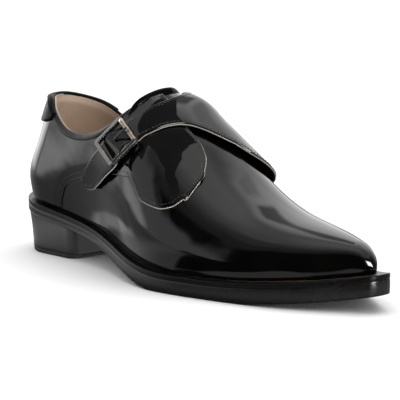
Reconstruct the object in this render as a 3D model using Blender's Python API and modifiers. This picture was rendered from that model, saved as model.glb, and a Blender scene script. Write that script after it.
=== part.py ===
"""Monk strap shoe for the right foot, built the way it is lasted and bottomed.

Frame: +X to the toe, +Y to the inner (medial) side, +Z up, floor at z = 0.
The origin is on the floor under the middle of the shoe. Before that last
shift, x runs from 0 at the back of the sole to LENGTH at the toe.

The upper, quarters, strap, tongue and heel tab all come from one function,
last_point(), which gives the surface of the last. A place on the last is a
station (how far along the sole) and an across value: -1 on the outer
(lateral) edge of the sole, 0 on the crown line, +1 on the medial edge.
"""
import math

import bmesh
import bpy
import numpy as np
from mathutils import Matrix, Vector

MM = 0.001
NAME = "monk_strap_shoe"

# Driving dimensions, in metres
LENGTH = 300 * MM
GAP = 0.42 * MM
ROWS = 10                   # points up each side of the upper and of the quarters over it
WALL = 2.0 * MM
LEATHER = 1.4 * MM
STRAP_LEATHER = 1.6 * MM
PLUMB = 2.0 * MM            # height of the upright lasting edge above the welt
WELT_THICK = 3.0 * MM
WELT_REACH = 0.5 * MM       # how far the welt reaches inside the upper's wall
INSOLE_THICK = 5.0 * MM
LIFT_THICK = 2.6 * MM
HEEL_BREAST = 64 * MM       # station of the heel's front face
HEEL_CORNER = 6 * MM        # rounding where the heel's sides meet its front face
HEEL_TAPER = 3.4 * MM       # how much smaller the heel is at the floor, all round
HEEL_SEAT = 0.8 * MM        # how far the heel stands in under the sole, all round
HEEL_ROUND = 31 * MM        # length of the round back of the sole
TOE_ROUND = 5 * MM          # length of the corners of the chiselled toe
TOE_PULL = 30 * MM          # length over which an inset line is drawn back at the toe
BACK_SEAM = 0.001 * MM      # station where each quarter starts, beside the back seam
TOE_DROP = 17 * MM          # length over which the upper falls to the toe
LEAN_END = 64 * MM          # station where the heel's lean has died out
SIDES_APART = 20 * MM       # station from which the two sides lean by their own amounts
CENTRE = Vector((LENGTH / 2, -6.7 * MM, 0.0))

# Sole seen from above, mm: station, lateral half width, medial half width
SOLE_WIDTH = np.array([
    (0, 31, 30), (30, 31.5, 33), (65, 31.5, 31.5), (100, 37.5, 30), (135, 49, 30.5),
    (165, 54, 36), (190, 51, 40), (215, 45.5, 40), (240, 38, 36.5), (265, 26.5, 29.5),
    (285, 13, 18), (300, 4.5, 9.5)]) * MM
# Sole seen from the side, mm: station, underside, top side
SOLE_HEIGHT = np.array([
    (0, 28, 36), (30, 24.5, 32.3), (60, 20, 28.3), (90, 15, 24), (115, 10, 19.4),
    (140, 4, 14.8), (165, -0.6, 11.8), (190, -0.8, 11.4), (220, -0.6, 12),
    (250, 2.5, 14.8), (280, 6.3, 18.5), (300, 10.3, 22.4)]) * MM
# How far the upper stands in from the edge of the sole, mm: station, margin
MARGIN = np.array([(0, 4.3), (60, 3.9), (110, 3.9), (170, 5.6), (240, 6.4), (300, 6.5)]) * MM
# Crown line of the last, mm: station, x, y, z
CROWN = np.array([
    (0, 38, 1, 121.5), (30, 54, 1.5, 121.5), (60, 72.5, 2.5, 120), (90, 95.5, 4, 116),
    (120, 122.5, 6, 108.2), (150, 151, 7.5, 94.4), (175, 175, 7.5, 76.5), (200, 198, 6, 60.5),
    (225, 222, 4.5, 50), (250, 246, 3.8, 44.5), (275, 270.3, 3.5, 40), (300, 293.7, 3, 34.5)]) * MM
# Cross sections: station in mm, fullness (power of the rise), lateral and medial bulge in mm
SECTION = np.array([
    (0, 0.78, 0.5, 0.5), (30, 0.77, 2.2, 2.0), (60, 0.79, 4.8, 3.6), (90, 0.85, 7.2, 4.8),
    (120, 0.92, 8.2, 5.2), (150, 0.98, 6.6, 4.6), (175, 1.0, 4.6, 3.8), (200, 0.98, 3.0, 2.8),
    (225, 0.93, 2.2, 2.2), (250, 0.87, 1.9, 1.9), (275, 0.82, 1.7, 1.7),
    (300, 0.80, 1.6, 1.6)]) * (MM, 1, MM, MM)
# How far the heel leans in above the counter, mm: height, lateral, medial
HEEL_LEAN = np.array([
    (36, 0.6, 0.2), (49, -1.2, -1.4), (60, 0.7, 0.1), (72, 4.8, 2.8), (84, 7.1, 4.0),
    (101, 9.0, 4.8), (122, 9.8, 5.2)]) * MM
# Height of the topline, mm: station, lateral, medial
TOPLINE = np.array([
    (0, 99.7, 99.7), (18, 97.6, 94.9), (37, 90, 88.8), (54, 83, 81.6), (71, 81, 81.3),
    (86, 83.4, 87.6), (97, 87.5, 94.8), (107, 94.5, 102.6), (118, 108.5, 108.5)]) * MM
THROAT = 118 * MM

# Lower edge of each quarter, in front of the heel: station in mm, across
LATERAL_SEAM = np.array([
    (52, 1.0), (53, 0.97), (58, 0.93), (66, 0.899), (74, 0.87), (90, 0.80), (105, 0.75),
    (121.5, 0.695), (130, 0.668), (137, 0.642), (141, 0.652), (146, 0.69), (152, 0.697),
    (160, 0.678), (167, 0.656), (172, 0.63), (176.5, 0.56), (179.5, 0.45), (180, 0.40)]) * (MM, 1)
MEDIAL_SEAM = np.array([
    (66, 1.0), (68, 0.96), (73, 0.89), (83, 0.83), (95, 0.785), (109, 0.75), (117, 0.75),
    (129, 0.78), (142, 0.79), (152, 0.77)]) * (MM, 1)
# Upper and front edge of the lateral quarter, forward of the throat: station, across
LATERAL_FRONT = np.array([
    (118, 0.10), (130, 0.13), (141, 0.17), (152, 0.205), (163, 0.215), (170, 0.24),
    (175.5, 0.285), (179, 0.345), (180, 0.40)]) * (MM, 1)

# The strap, from the medial quarter over the crown to its tip on the lateral side:
# across, station of the back edge, station of the front edge, clearance at the
# back edge and at the front edge, all in mm but the first
JOIN = 100 * MM             # station where the strap leaves the medial quarter
STRAP = np.array([
    (0.80, 100, 151.5, 0.3, 0.5), (0.74, 100, 158.5, 0.3, 1.6), (0.68, 100, 165, 0.3, 3.2),
    (0.62, 100, 170.5, 0.3, 4.8), (0.55, 100, 175.5, 0.3, 6.0), (0.48, 100.5, 178.8, 0.3, 6.2),
    (0.40, 102.5, 180.8, 0.4, 5.4), (0.31, 107, 181.5, 0.7, 4.6), (0.21, 112.5, 180.6, 1.3, 4.0),
    (0.12, 118.5, 177.8, 2.2, 3.6), (0.05, 123, 174.2, 2.9, 3.4), (-0.02, 126, 169, 3.2, 3.4),
    (-0.09, 126.6, 160.8, 3.2, 3.2), (-0.18, 125, 150.2, 2.8, 2.9), (-0.25, 123, 145, 2.5, 2.7),
    (-0.32, 121, 141, 2.3, 2.6), (-0.38, 119, 137.5, 2.3, 2.4),
    (-0.42, 117.5, 135, 2.3, 2.3), (-0.455, 116.2, 133.4, 2.3, 2.2), (-0.495, 114, 131.2, 4.3, 4.2),
    (-0.54, 111.8, 129.2, 6.4, 6.3), (-0.585, 108.8, 127, 5.4, 5.2), (-0.635, 104, 124.6, 4.3, 4.2),
    (-0.70, 96.9, 117.3, 3.6, 3.6), (-0.75, 91.3, 110, 3.2, 3.2), (-0.80, 85.6, 102, 2.6, 2.6),
    (-0.85, 80.2, 93.4, 2.1, 2.1), (-0.875, 80, 88.4, 2.0, 2.0),
    (-0.888, 82.5, 85.5, 2.0, 2.0)]) * (1, MM, MM, MM, MM)

STRAP_KNEE = 2.2 * MM       # extra clearance where the strap bends over the crest
KNEE_AT = 134 * MM
KNEE_RUN = 12 * MM

# The tongue: across, station of its back edge, station of its front edge (mm)
TONGUE = np.array([
    (-0.36, 119, 140), (-0.31, 114, 148), (-0.24, 112, 152), (-0.12, 110.3, 155),
    (0.0, 108.6, 156), (0.10, 108.4, 154), (0.18, 111, 150), (0.25, 119, 143)]) * (1, MM, MM)
TONGUE_RISE = 5.0 * MM      # how far it leans out behind the throat

# The heel tab: how far it reaches round each side, and its lower edge
TAB_REACH = 37 * MM
TAB_LOW_BACK = 83.5 * MM    # height of its lower edge at the back of the heel

# The buckle on the lateral side: the middle of its underside, its outward normal,
# and the strap's direction towards the crest
BUCKLE_AT = Vector((121.8, -41.7, 82.6)) * MM
BUCKLE_OUT = Vector((0.05, -0.835, 0.547)).normalized()
BUCKLE_ALONG = Vector((0.50, 0.50, 0.71))
BUCKLE_LENGTH = 23.4 * MM   # along the strap
BUCKLE_WIDTH = 26.4 * MM    # across the strap
BAR = 2.8 * MM
FRAME_THICK = 2.4 * MM
PIN_RADIUS = 0.8 * MM
PIN_DEPTH = -0.5 * MM       # the centre bar's axis, below the underside of the frame

# Colours, roughness and metallic values
PATENT = ((0.012, 0.012, 0.013), 0.12)
SOLE_EDGE = ((0.03, 0.03, 0.028), 0.42)
BUCKLE_METAL = ((0.34, 0.33, 0.30), 0.25, 1.0)


def spline(xs, ys):
    """A natural cubic spline through the points, as a function of x."""
    count = len(xs)
    step = np.diff(xs)
    slope = np.diff(ys) / step
    system = np.eye(count)
    target = np.zeros(count)
    for i in range(1, count - 1):
        system[i, i - 1:i + 2] = step[i - 1], 2 * (step[i - 1] + step[i]), step[i]
        target[i] = 6 * (slope[i] - slope[i - 1])
    bend = np.linalg.solve(system, target)

    def read(x):
        x = np.clip(x, xs[0], xs[-1])
        i = np.clip(np.searchsorted(xs, x, side="right") - 1, 0, count - 2)
        a = (xs[i + 1] - x) / step[i]
        b = 1 - a
        curve = (a ** 3 - a) * bend[i] + (b ** 3 - b) * bend[i + 1]
        return a * ys[i] + b * ys[i + 1] + curve * step[i] ** 2 / 6
    return read


def column(table, index):
    """One column of a table as a spline of its first column."""
    rows = table if table[0, 0] < table[-1, 0] else table[::-1]
    return spline(rows[:, 0], rows[:, index])


LATERAL_WIDTH = column(SOLE_WIDTH, 1)
MEDIAL_WIDTH = column(SOLE_WIDTH, 2)
UNDERSIDE = column(SOLE_HEIGHT, 1)
TOPSIDE = column(SOLE_HEIGHT, 2)
MARGIN_AT = column(MARGIN, 1)
CROWN_AT = [column(CROWN, i) for i in (1, 2, 3)]
FULLNESS = column(SECTION, 1)
BULGE_AT = {-1: column(SECTION, 2), 1: column(SECTION, 3)}
LEAN_AT = {-1: column(HEEL_LEAN, 1), 1: column(HEEL_LEAN, 2)}
TOPLINE_AT = {-1: column(TOPLINE, 1), 1: column(TOPLINE, 2)}


def turn_of(station):
    """The even running value 0..1 that bunches stations at heel and toe."""
    return np.arccos(np.clip(1 - 2 * station / LENGTH, -1, 1)) / math.pi


def station_of(turn):
    return LENGTH * (1 - np.cos(math.pi * turn)) / 2


def sole_bottom(station):
    """Height of the underside: a flat tread between the arch and the toe spring."""
    return np.maximum(UNDERSIDE(station), 0.0)


def slope_of(read, x):
    step = 0.1 * MM
    return (read(x + step) - read(x - step)) / (2 * step)


def edge_at(x, side, inset):
    """y of the line that runs inset inside the sole's edge, read at x."""
    lateral, medial = (read(x) - inset * np.hypot(1, slope_of(read, x))
                       for read in (LATERAL_WIDTH, MEDIAL_WIDTH))
    heel = np.clip((HEEL_ROUND - x) / (HEEL_ROUND - inset), 0, 1)
    toe = np.clip(1 - (LENGTH - inset - x) / TOE_ROUND, 0, 1)
    power = 3 - np.clip(inset / TOE_ROUND, 0, 1)
    cap = np.sqrt(1 - heel ** 2) * (1 - toe ** power) ** (1 / power)
    return (medial - lateral) / 2 + side * (medial + lateral) / 2 * cap


def inset_edge(station, side, inset):
    """x and y of the line inset inside the sole's edge (side -1 lateral, +1 medial)."""
    slope = slope_of(LATERAL_WIDTH if side < 0 else MEDIAL_WIDTH, station)
    heel = np.clip(1 - station / HEEL_ROUND, 0, 1)
    toe = np.clip(1 - (LENGTH - station) / TOE_PULL, 0, 1) ** 2
    x = station + inset * (heel + slope / np.hypot(1, slope) * (1 - heel) * (1 - toe) - toe)
    return x, edge_at(x, side, inset)


def eased(share):
    """A share 0..1 that starts and ends gently."""
    share = np.clip(share, 0, 1)
    return share * share * (3 - 2 * share)


def across_of(station, height, side):
    """The across value at which the last reaches a height above the floor."""
    low = TOPSIDE(station) + GAP + PLUMB
    share = np.clip((height - low) / (CROWN_AT[2](station) - low), 0, 1)
    rise = np.arcsin(share ** (1 / FULLNESS(station)))
    return side * (1 - rise * 2 / math.pi)


def last_point(station, across):
    """Points on the last; station and across are arrays of one shape."""
    margin = MARGIN_AT(station)
    lx, ly = inset_edge(station, -1, margin)
    mx, my = inset_edge(station, 1, margin)
    fx, fy = np.where(across < 0, lx, mx), np.where(across < 0, ly, my)
    fz = TOPSIDE(fx) + GAP + PLUMB
    cx, cy, cz = (read(station) for read in CROWN_AT)
    fall = np.clip(1 - (LENGTH - station) / TOE_DROP, 0, 1)
    base = TOPSIDE((lx + mx) / 2) + GAP + PLUMB
    cz = base + (cz - base) * (1 - fall ** 2.2) ** (1 / 2.2)
    cx = cx + ((lx + mx) / 2 - cx) * fall ** 8
    cy = cy + ((ly + my) / 2 - cy) * fall ** 8
    rise = (1 - np.abs(across)) * math.pi / 2
    dx, dy = fx - cx, fy - cy
    reach = np.hypot(dx, dy)
    bulge = np.where(across < 0, BULGE_AT[-1](station), BULGE_AT[1](station))
    bulge = bulge * np.minimum(1, reach / (10 * MM))
    z = fz + (cz - fz) * np.maximum(np.sin(rise), 0) ** FULLNESS(station)
    lean = (LEAN_AT[-1](z) + LEAN_AT[1](z)) / 2
    apart = (LEAN_AT[-1](z) - LEAN_AT[1](z)) / 2 * eased(station / SIDES_APART)
    lean = (lean - np.sign(across) * apart) * eased(1 - station / LEAN_END) * np.cos(rise)
    out = (reach * np.cos(rise) + bulge * np.sin(2 * rise) - lean) / np.maximum(reach, 1e-9)
    return np.stack([cx + dx * out, cy + dy * out, z], -1)


def last_normal(station, across):
    """Unit normals of the last, pointing out of the shoe."""
    step = 1e-3
    turn = np.clip(turn_of(station), 0.005, 0.995)
    along = last_point(station_of(turn + step), across) - last_point(station_of(turn - step), across)
    inside = np.clip(across, -0.99, 0.99)
    over = last_point(station, inside + step) - last_point(station, inside - step)
    normal = np.cross(along, over)
    return normal / np.linalg.norm(normal, axis=-1, keepdims=True)


def raised(station, across, height):
    """Points a height above the last."""
    return last_point(station, across) + last_normal(station, across) * np.asarray(height)[..., None]


# ---------------------------------------------------------------- mesh helpers

def material(name, colour, roughness, metallic=0.0):
    """A Principled material of one colour."""
    made = bpy.data.materials.new(name)
    made.use_nodes = True
    shader = made.node_tree.nodes["Principled BSDF"]
    shader.inputs["Base Color"].default_value = (*colour, 1.0)
    shader.inputs["Roughness"].default_value = roughness
    shader.inputs["Metallic"].default_value = metallic
    return made


def grid_faces(rows, columns, start=0):
    """Quads of a grid of points stored row by row."""
    for r in range(rows - 1):
        for c in range(columns - 1):
            a = start + r * columns + c
            yield a, a + 1, a + columns + 1, a + columns


def mesh_object(name, points, faces, collection, paint, merge=0.05 * MM):
    """An object from points and faces, with doubled points joined and faces facing one way."""
    mesh = bpy.data.meshes.new(name)
    build = bmesh.new()
    verts = [build.verts.new(p) for p in np.asarray(points) - np.array(CENTRE)]
    for face in faces:
        build.faces.new([verts[i] for i in face])
    bmesh.ops.remove_doubles(build, verts=build.verts, dist=merge)
    bmesh.ops.dissolve_degenerate(build, edges=build.edges, dist=merge / 10)
    bmesh.ops.triangulate(build, faces=build.faces)
    bmesh.ops.recalc_face_normals(build, faces=build.faces)
    build.to_mesh(mesh)
    build.free()
    mesh.shade_smooth()
    mesh.set_sharp_from_angle(angle=math.radians(35))
    mesh.materials.append(paint)
    made = bpy.data.objects.new(name, mesh)
    collection.objects.link(made)
    return made


def sheet(name, patches, thickness, collection, paint):
    """A leather piece: grids of points joined into one sheet and thickened outwards."""
    points, faces = [], []
    for patch in patches:
        rows, columns = patch.shape[:2]
        faces += list(grid_faces(rows, columns, len(points)))
        points += list(patch.reshape(-1, 3))
    made = mesh_object(name, points, faces, collection, paint)
    if faces_inwards(made):
        made.data.flip_normals()
    solid = made.modifiers.new("leather", "SOLIDIFY")
    solid.thickness = abs(thickness)
    solid.offset = 1 if thickness > 0 else -1
    solid.use_even_offset = True
    return made


def faces_inwards(made):
    """True when most of a sheet's area faces the middle of the foot."""
    total = 0.0
    for face in made.data.polygons:
        heart = Vector((face.center.x, -CENTRE.y, 40 * MM))
        total += face.area * face.normal.dot(face.center - heart)
    return total < 0


def loft(name, rows, collection, paint):
    """A closed solid through the four corners of each row."""
    points = [corner for row in rows for corner in row]
    faces = [(3, 2, 1, 0)]
    for r in range(len(rows) - 1):
        for c in range(4):
            d = (c + 1) % 4
            faces.append((4 * r + c, 4 * r + d, 4 * r + 4 + d, 4 * r + 4 + c))
    last = 4 * (len(rows) - 1)
    faces.append((last, last + 1, last + 2, last + 3))
    return mesh_object(name, points, faces, collection, paint)


def plate(name, stations, inset, low, high, collection, paint):
    """A sole layer between two heights, inset inside the sole's edge."""
    lateral, medial = (edge_at(stations, side, inset) for side in (-1, 1))
    rows = [((x, a, l), (x, b, l), (x, b, h), (x, a, h))
            for x, a, b, l, h in zip(stations, lateral, medial, low, high)]
    return loft(name, rows, collection, paint)


def bunched(first, last, count):
    """Stations from first to last, bunched at both ends."""
    return first + (last - first) * (1 - np.cos(math.pi * np.linspace(0, 1, count))) / 2


# ----------------------------------------------------------------- the bottom

def make_outsole(collection, paint):
    """The leather outsole: full outline, flat tread, arch and toe spring."""
    stations = bunched(0.0, LENGTH, 49)
    high = TOPSIDE(stations) - WELT_THICK - GAP
    return plate("outsole", stations, 0.0, sole_bottom(stations), high, collection, paint)


def make_welt(collection, paint):
    """The welt: a flat strip all round, from the sole's edge to just inside the upper."""
    turns = np.linspace(0, 1, 57)
    loop = []
    for side, order in ((-1, turns), (1, turns[::-1][1:-1])):
        margin = MARGIN_AT(station_of(order))
        for inset in (np.zeros_like(order), margin + WALL + WELT_REACH):
            loop.append(inset_edge(station_of(order), side, inset))
    outer = [np.concatenate([loop[0][i], loop[2][i]]) for i in range(2)]
    inner = [np.concatenate([loop[1][i], loop[3][i]]) for i in range(2)]
    points = []
    for x, y in (outer, inner):
        high = TOPSIDE(x)
        points += [np.stack([x, y, high - WELT_THICK], -1), np.stack([x, y, high], -1)]
    count = len(outer[0])
    faces = []
    for i in range(count):
        j = (i + 1) % count
        for low, high in ((0, 1), (1, 3), (3, 2), (2, 0)):
            faces.append((low * count + i, low * count + j, high * count + j, high * count + i))
    return mesh_object("welt", np.concatenate(points), faces, collection, paint)


def make_insole(collection, paint):
    """The insole board, inside the welt and the upper."""
    clear = WALL + WELT_REACH + 2 * GAP
    stations = bunched(MARGIN_AT(0.0) + clear, LENGTH - MARGIN_AT(LENGTH) - clear, 49)
    low = TOPSIDE(stations) - WELT_THICK
    inset = MARGIN_AT(stations) + clear
    return plate("insole", stations, inset, low, low + INSOLE_THICK, collection, paint)


def heel_rows(inset_top, inset_low, top_of, low_of):
    """Rows of a heel layer: round at the back, square with soft corners at the breast."""
    rows = []
    edges = []
    for inset in (inset_top, inset_low):
        stations = bunched(inset, HEEL_BREAST - inset, 25)
        lateral, medial = (edge_at(stations, side, inset) for side in (-1, 1))
        corner = np.clip(1 - (HEEL_BREAST - inset - stations) / HEEL_CORNER, 0, 1)
        trim = HEEL_CORNER * (1 - np.sqrt(1 - corner ** 2))
        edges.append((stations, lateral + trim, medial - trim))
    for i in range(25):
        top_x, top_a, top_b = (edge[i] for edge in edges[0])
        low_x, low_a, low_b = (edge[i] for edge in edges[1])
        rows.append(((low_x, low_a, low_of(low_x)), (low_x, low_b, low_of(low_x)),
                     (top_x, top_b, top_of(top_x)), (top_x, top_a, top_of(top_x))))
    return rows


def make_heel(collection, paint, lift_paint):
    """The stacked heel and the thin top lift that it walks on."""
    joint = HEEL_TAPER + (HEEL_SEAT - HEEL_TAPER) * LIFT_THICK / sole_bottom(0.0)
    block = heel_rows(HEEL_SEAT, joint, lambda x: sole_bottom(x) - GAP, lambda x: LIFT_THICK + GAP)
    lift = heel_rows(joint, HEEL_TAPER, lambda x: LIFT_THICK, lambda x: 0.0)
    return loft("heel_block", block, collection, paint), \
        loft("heel_top_lift", lift, collection, lift_paint)


# ------------------------------------------------------------------ the upper

def top_across(station, side):
    """Across value of the topline; 0 forward of the throat, where the upper is closed."""
    height = TOPLINE_AT[side](np.minimum(station, THROAT))
    value = across_of(station, height, side)
    return np.where(station >= THROAT, 0.0, value)


def make_upper(collection, paint):
    """One hollow shell, open at the collar and underneath, with a plumb lasting edge."""
    marks = [turn_of(place) for place in (0.0, THROAT - 16 * MM, THROAT, LENGTH)]
    runs = [np.linspace(marks[i], marks[i + 1], count) for i, count in enumerate((17, 9, 25))]
    stations = station_of(np.concatenate([runs[0], runs[1][1:], runs[2][1:]]))
    patches = []
    for side in (-1, 1):
        share = np.linspace(0, 1, ROWS)[None, :]
        top = top_across(stations, side)[:, None]
        across = side + (top - side) * share
        grid = last_point(stations[:, None] + 0 * share, across)
        foot = grid[:, :1].copy()
        foot[..., 2] -= PLUMB
        patches.append(np.concatenate([foot, grid], axis=1))
    return sheet("upper", patches, -WALL, collection, paint)


def make_lateral_quarter(collection, paint):
    """The outer quarter: from the back seam to a free rounded front edge on the vamp."""
    low_at = column(LATERAL_SEAM, 1)
    front_at = column(LATERAL_FRONT, 1)
    tip = LATERAL_SEAM[-1, 0] - 0.6 * MM
    back = station_of(np.linspace(turn_of(BACK_SEAM), turn_of(LATERAL_SEAM[0, 0]), 14))
    side = np.linspace(LATERAL_SEAM[0, 0], THROAT - 16 * MM, 8)
    throat = np.linspace(THROAT - 16 * MM, THROAT, 8)
    front = THROAT + (tip - THROAT) * np.sin(np.linspace(0, 0.5, 14) * math.pi)
    stations = np.concatenate([back, side[1:], throat[1:], front[1:]])
    low = -np.where(stations < LATERAL_SEAM[0, 0], 1.0, np.minimum(low_at(stations), 1.0))
    high = np.where(stations < THROAT, np.minimum(top_across(stations, -1), -0.10), -front_at(stations))
    share = np.linspace(0, 1, ROWS)[None, :]
    across = low[:, None] + (high - low)[:, None] * share
    lift = 0.6 * MM * np.clip((stations - 150 * MM) / (30 * MM), 0, 1)[:, None] * share
    grid = raised(stations[:, None] + 0 * share, across, GAP + lift)
    return sheet("lateral_quarter", [grid], LEATHER, collection, paint)


def make_quarter_strap(collection, paint):
    """The medial quarter and the strap, cut as one piece, with its prong hole."""
    low_at = column(MEDIAL_SEAM, 1)
    back = station_of(np.linspace(turn_of(BACK_SEAM), turn_of(MEDIAL_SEAM[0, 0]), 14))
    rest = np.linspace(MEDIAL_SEAM[0, 0], JOIN, 7)
    stations = np.concatenate([back, rest[1:]])
    low = np.where(stations < MEDIAL_SEAM[0, 0], 1.0, np.minimum(low_at(stations), 1.0))
    high = top_across(stations, 1)
    share = np.linspace(0, 1, ROWS)
    across = low[:, None] + (high - low)[:, None] * share[None, :]
    quarter = raised(stations[:, None] + 0 * across, across, np.full_like(across, GAP))
    side_rows = across[-1]
    over = np.linspace(side_rows[-1], STRAP[-1, 0], 37)[1:]
    rows = np.concatenate([side_rows, over])
    edges = [column(STRAP, i)(rows) for i in (1, 2, 3, 4)]
    edges[0][:len(side_rows)] = JOIN
    width = np.linspace(0, 1, 9)[None, :]
    along = edges[0][:, None] + (edges[1] - edges[0])[:, None] * width
    lift = edges[2][:, None] + (edges[3] - edges[2])[:, None] * width ** 1.5
    lift += STRAP_KNEE * np.exp(-((along - KNEE_AT) / KNEE_RUN) ** 2 - ((rows[:, None] - 0.1) / 0.18) ** 2)
    strap = raised(along, rows[:, None] + 0 * width, np.maximum(lift, GAP))
    return sheet("quarter_strap", [quarter, strap], STRAP_LEATHER, collection, paint)


def make_tongue(collection, paint):
    """The tongue: a curved sheet under the throat, showing behind the strap."""
    rows = np.linspace(TONGUE[0, 0], TONGUE[-1, 0], 15)
    back, front = column(TONGUE, 1)(rows), column(TONGUE, 2)(rows)
    share = np.linspace(0, 1, 8)[None, :]
    along = back[:, None] + (front - back)[:, None] * share
    lean = TONGUE_RISE * np.clip((THROAT - 3 * MM - along) / (6 * MM), 0, 1) ** 1.3
    lean = lean * np.exp(-((rows[:, None] + 0.03) / 0.17) ** 4)
    grid = raised(along, rows[:, None] + 0 * share, lean - (WALL + 3 * GAP + LEATHER))
    return sheet("tongue", [grid], LEATHER, collection, paint)


def make_heel_tab(collection, paint):
    """The tab over the back seam at the collar, reaching a little way down each side."""
    columns = []
    for turn in np.linspace(-1, 1, 29) * turn_of(TAB_REACH):
        side = -1 if turn < 0 else 1
        station = station_of(abs(turn))
        top = TOPLINE_AT[side](station)
        edge = math.sqrt(max(0.0, 1 - (station / TAB_REACH) ** 4))
        low = top - 1.0 * MM - (top - 1.0 * MM - TAB_LOW_BACK) * edge
        heights = np.linspace(low, top, 5)
        stations = np.full(5, station)
        across = across_of(stations, heights, side)
        columns.append(raised(stations, across, np.full(5, 2 * GAP + STRAP_LEATHER)))
    return sheet("heel_tab", [np.array(columns)], LEATHER, collection, paint)


# ----------------------------------------------------------------- the buckle

def buckle_frame_matrix():
    """Buckle axes: x along the strap to its front bar, y across it, z out of the shoe."""
    out = BUCKLE_OUT
    along = (BUCKLE_ALONG - out * BUCKLE_ALONG.dot(out)).normalized()
    across = out.cross(along)
    turn = Matrix((along, across, out)).transposed().to_4x4()
    return Matrix.Translation(BUCKLE_AT - CENTRE) @ turn


def rounded_box(name, size, centre, collection, paint, matrix, round_by=0.5 * MM):
    """A box with softened edges, in buckle axes."""
    mesh = bpy.data.meshes.new(name)
    build = bmesh.new()
    bmesh.ops.create_cube(build, size=1.0)
    bmesh.ops.scale(build, vec=size, verts=build.verts)
    bmesh.ops.translate(build, vec=centre, verts=build.verts)
    build.to_mesh(mesh)
    build.free()
    mesh.materials.append(paint)
    made = bpy.data.objects.new(name, mesh)
    made.matrix_world = matrix
    collection.objects.link(made)
    bevel = made.modifiers.new("soft_edges", "BEVEL")
    bevel.width = round_by
    bevel.segments = 2
    return made


def boolean(target, cutter, operation, label):
    """A live Boolean on target."""
    change = target.modifiers.new(label, "BOOLEAN")
    change.operation = operation
    change.object = cutter
    cutter.hide_render = True
    cutter.display_type = "WIRE"
    return change


def make_buckle(collection, tools, paint, pin_paint):
    """Frame with two windows, its centre bar, and the prong lying to the front bar."""
    matrix = buckle_frame_matrix()
    half = FRAME_THICK / 2
    frame = rounded_box("buckle_frame", (BUCKLE_LENGTH, BUCKLE_WIDTH, FRAME_THICK),
                        (0, 0, half), collection, paint, matrix)
    window = rounded_box("frame_window", (BUCKLE_LENGTH - 2 * BAR, BUCKLE_WIDTH - 2 * BAR, 4 * FRAME_THICK),
                         (0, 0, half), tools, paint, matrix)
    boolean(frame, window, "DIFFERENCE", "window")
    bar = rod("centre_bar", BUCKLE_WIDTH - BAR, PIN_RADIUS, tools, paint)
    bar.matrix_world = matrix @ Matrix.Translation((0, 0, PIN_DEPTH)) @ Matrix.Rotation(math.pi / 2, 4, "X")
    boolean(frame, bar, "UNION", "centre_bar")
    prong = make_prong(collection, pin_paint, matrix)
    return frame, prong


def rod(name, length, radius, collection, paint):
    """A round rod along Z."""
    mesh = bpy.data.meshes.new(name)
    build = bmesh.new()
    bmesh.ops.create_cone(build, cap_ends=True, segments=16, radius1=radius, radius2=radius, depth=length)
    build.to_mesh(mesh)
    build.free()
    mesh.materials.append(paint)
    made = bpy.data.objects.new(name, mesh)
    collection.objects.link(made)
    return made


def make_prong(collection, paint, matrix):
    """A bent pin: up through the strap over the centre bar, then on to the front bar."""
    over = FRAME_THICK + GAP + PIN_RADIUS
    front = BUCKLE_LENGTH / 2
    root = PIN_DEPTH + 2 * PIN_RADIUS + GAP
    path = [(0, 0, root), (0, 0, over - 0.4 * MM), (1.2 * MM, 0, over), (front - BAR, 0, over),
            (front - 0.4 * BAR, 0, over)]
    curve = bpy.data.curves.new("buckle_prong", "CURVE")
    curve.dimensions = "3D"
    curve.bevel_depth = PIN_RADIUS
    curve.bevel_resolution = 2
    curve.use_fill_caps = True
    line = curve.splines.new("POLY")
    line.points.add(len(path) - 1)
    for point, place in zip(line.points, path):
        point.co = (*place, 1.0)
    curve.materials.append(paint)
    prong = bpy.data.objects.new("buckle_prong", curve)
    prong.matrix_world = matrix
    collection.objects.link(prong)
    return prong


def cut_prong_hole(strap, tools, paint):
    """The hole in the strap that the prong comes up through."""
    hole = rod("prong_hole", 12 * MM, PIN_RADIUS + 0.6 * MM, tools, paint)
    hole.matrix_world = buckle_frame_matrix() @ Matrix.Translation((0, 0, 3 * MM))
    boolean(strap, hole, "DIFFERENCE", "prong_hole")


def main():
    """Clear the scene and build the shoe."""
    for old in list(bpy.data.objects):
        bpy.data.objects.remove(old, do_unlink=True)
    parts = bpy.data.collections.new(NAME)
    tools = bpy.data.collections.new(NAME + "_cutters")
    bpy.context.scene.collection.children.link(parts)
    bpy.context.scene.collection.children.link(tools)

    make_outsole(parts, material("outsole_edge", *SOLE_EDGE))
    make_welt(parts, material("welt_edge", *SOLE_EDGE))
    make_insole(parts, material("insole_leather", (0.40, 0.27, 0.18), 0.6))
    make_heel(parts, material("heel_stack", *SOLE_EDGE), material("heel_rubber", (0.015, 0.015, 0.015), 0.7))
    make_upper(parts, material("upper_patent", *PATENT))
    make_tongue(parts, material("tongue_patent", *PATENT))
    make_lateral_quarter(parts, material("quarter_patent", *PATENT))
    strap = make_quarter_strap(parts, material("strap_patent", *PATENT))
    make_heel_tab(parts, material("tab_patent", *PATENT))
    steel = material("buckle_metal", *BUCKLE_METAL)
    make_buckle(parts, tools, steel, material("prong_metal", *BUCKLE_METAL))
    cut_prong_hole(strap, tools, steel)


main()
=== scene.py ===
"""Looks of the monk strap shoe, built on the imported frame.

Every leather piece is laid on the surface of the last, given by last_point(),
in the shoe's own sizes. A place on the last is a station (how far along the
sole, 0 at the back of the heel) and an across value: -1 on the outer edge of
the sole, 0 on the crown line, +1 on the inner edge. Points are moved by
CENTRE at the end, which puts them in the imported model's frame.
"""
import math

import bmesh
import bpy
import numpy as np
from mathutils import Matrix, Vector
from mathutils.bvhtree import BVHTree
from mathutils.kdtree import KDTree


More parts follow.
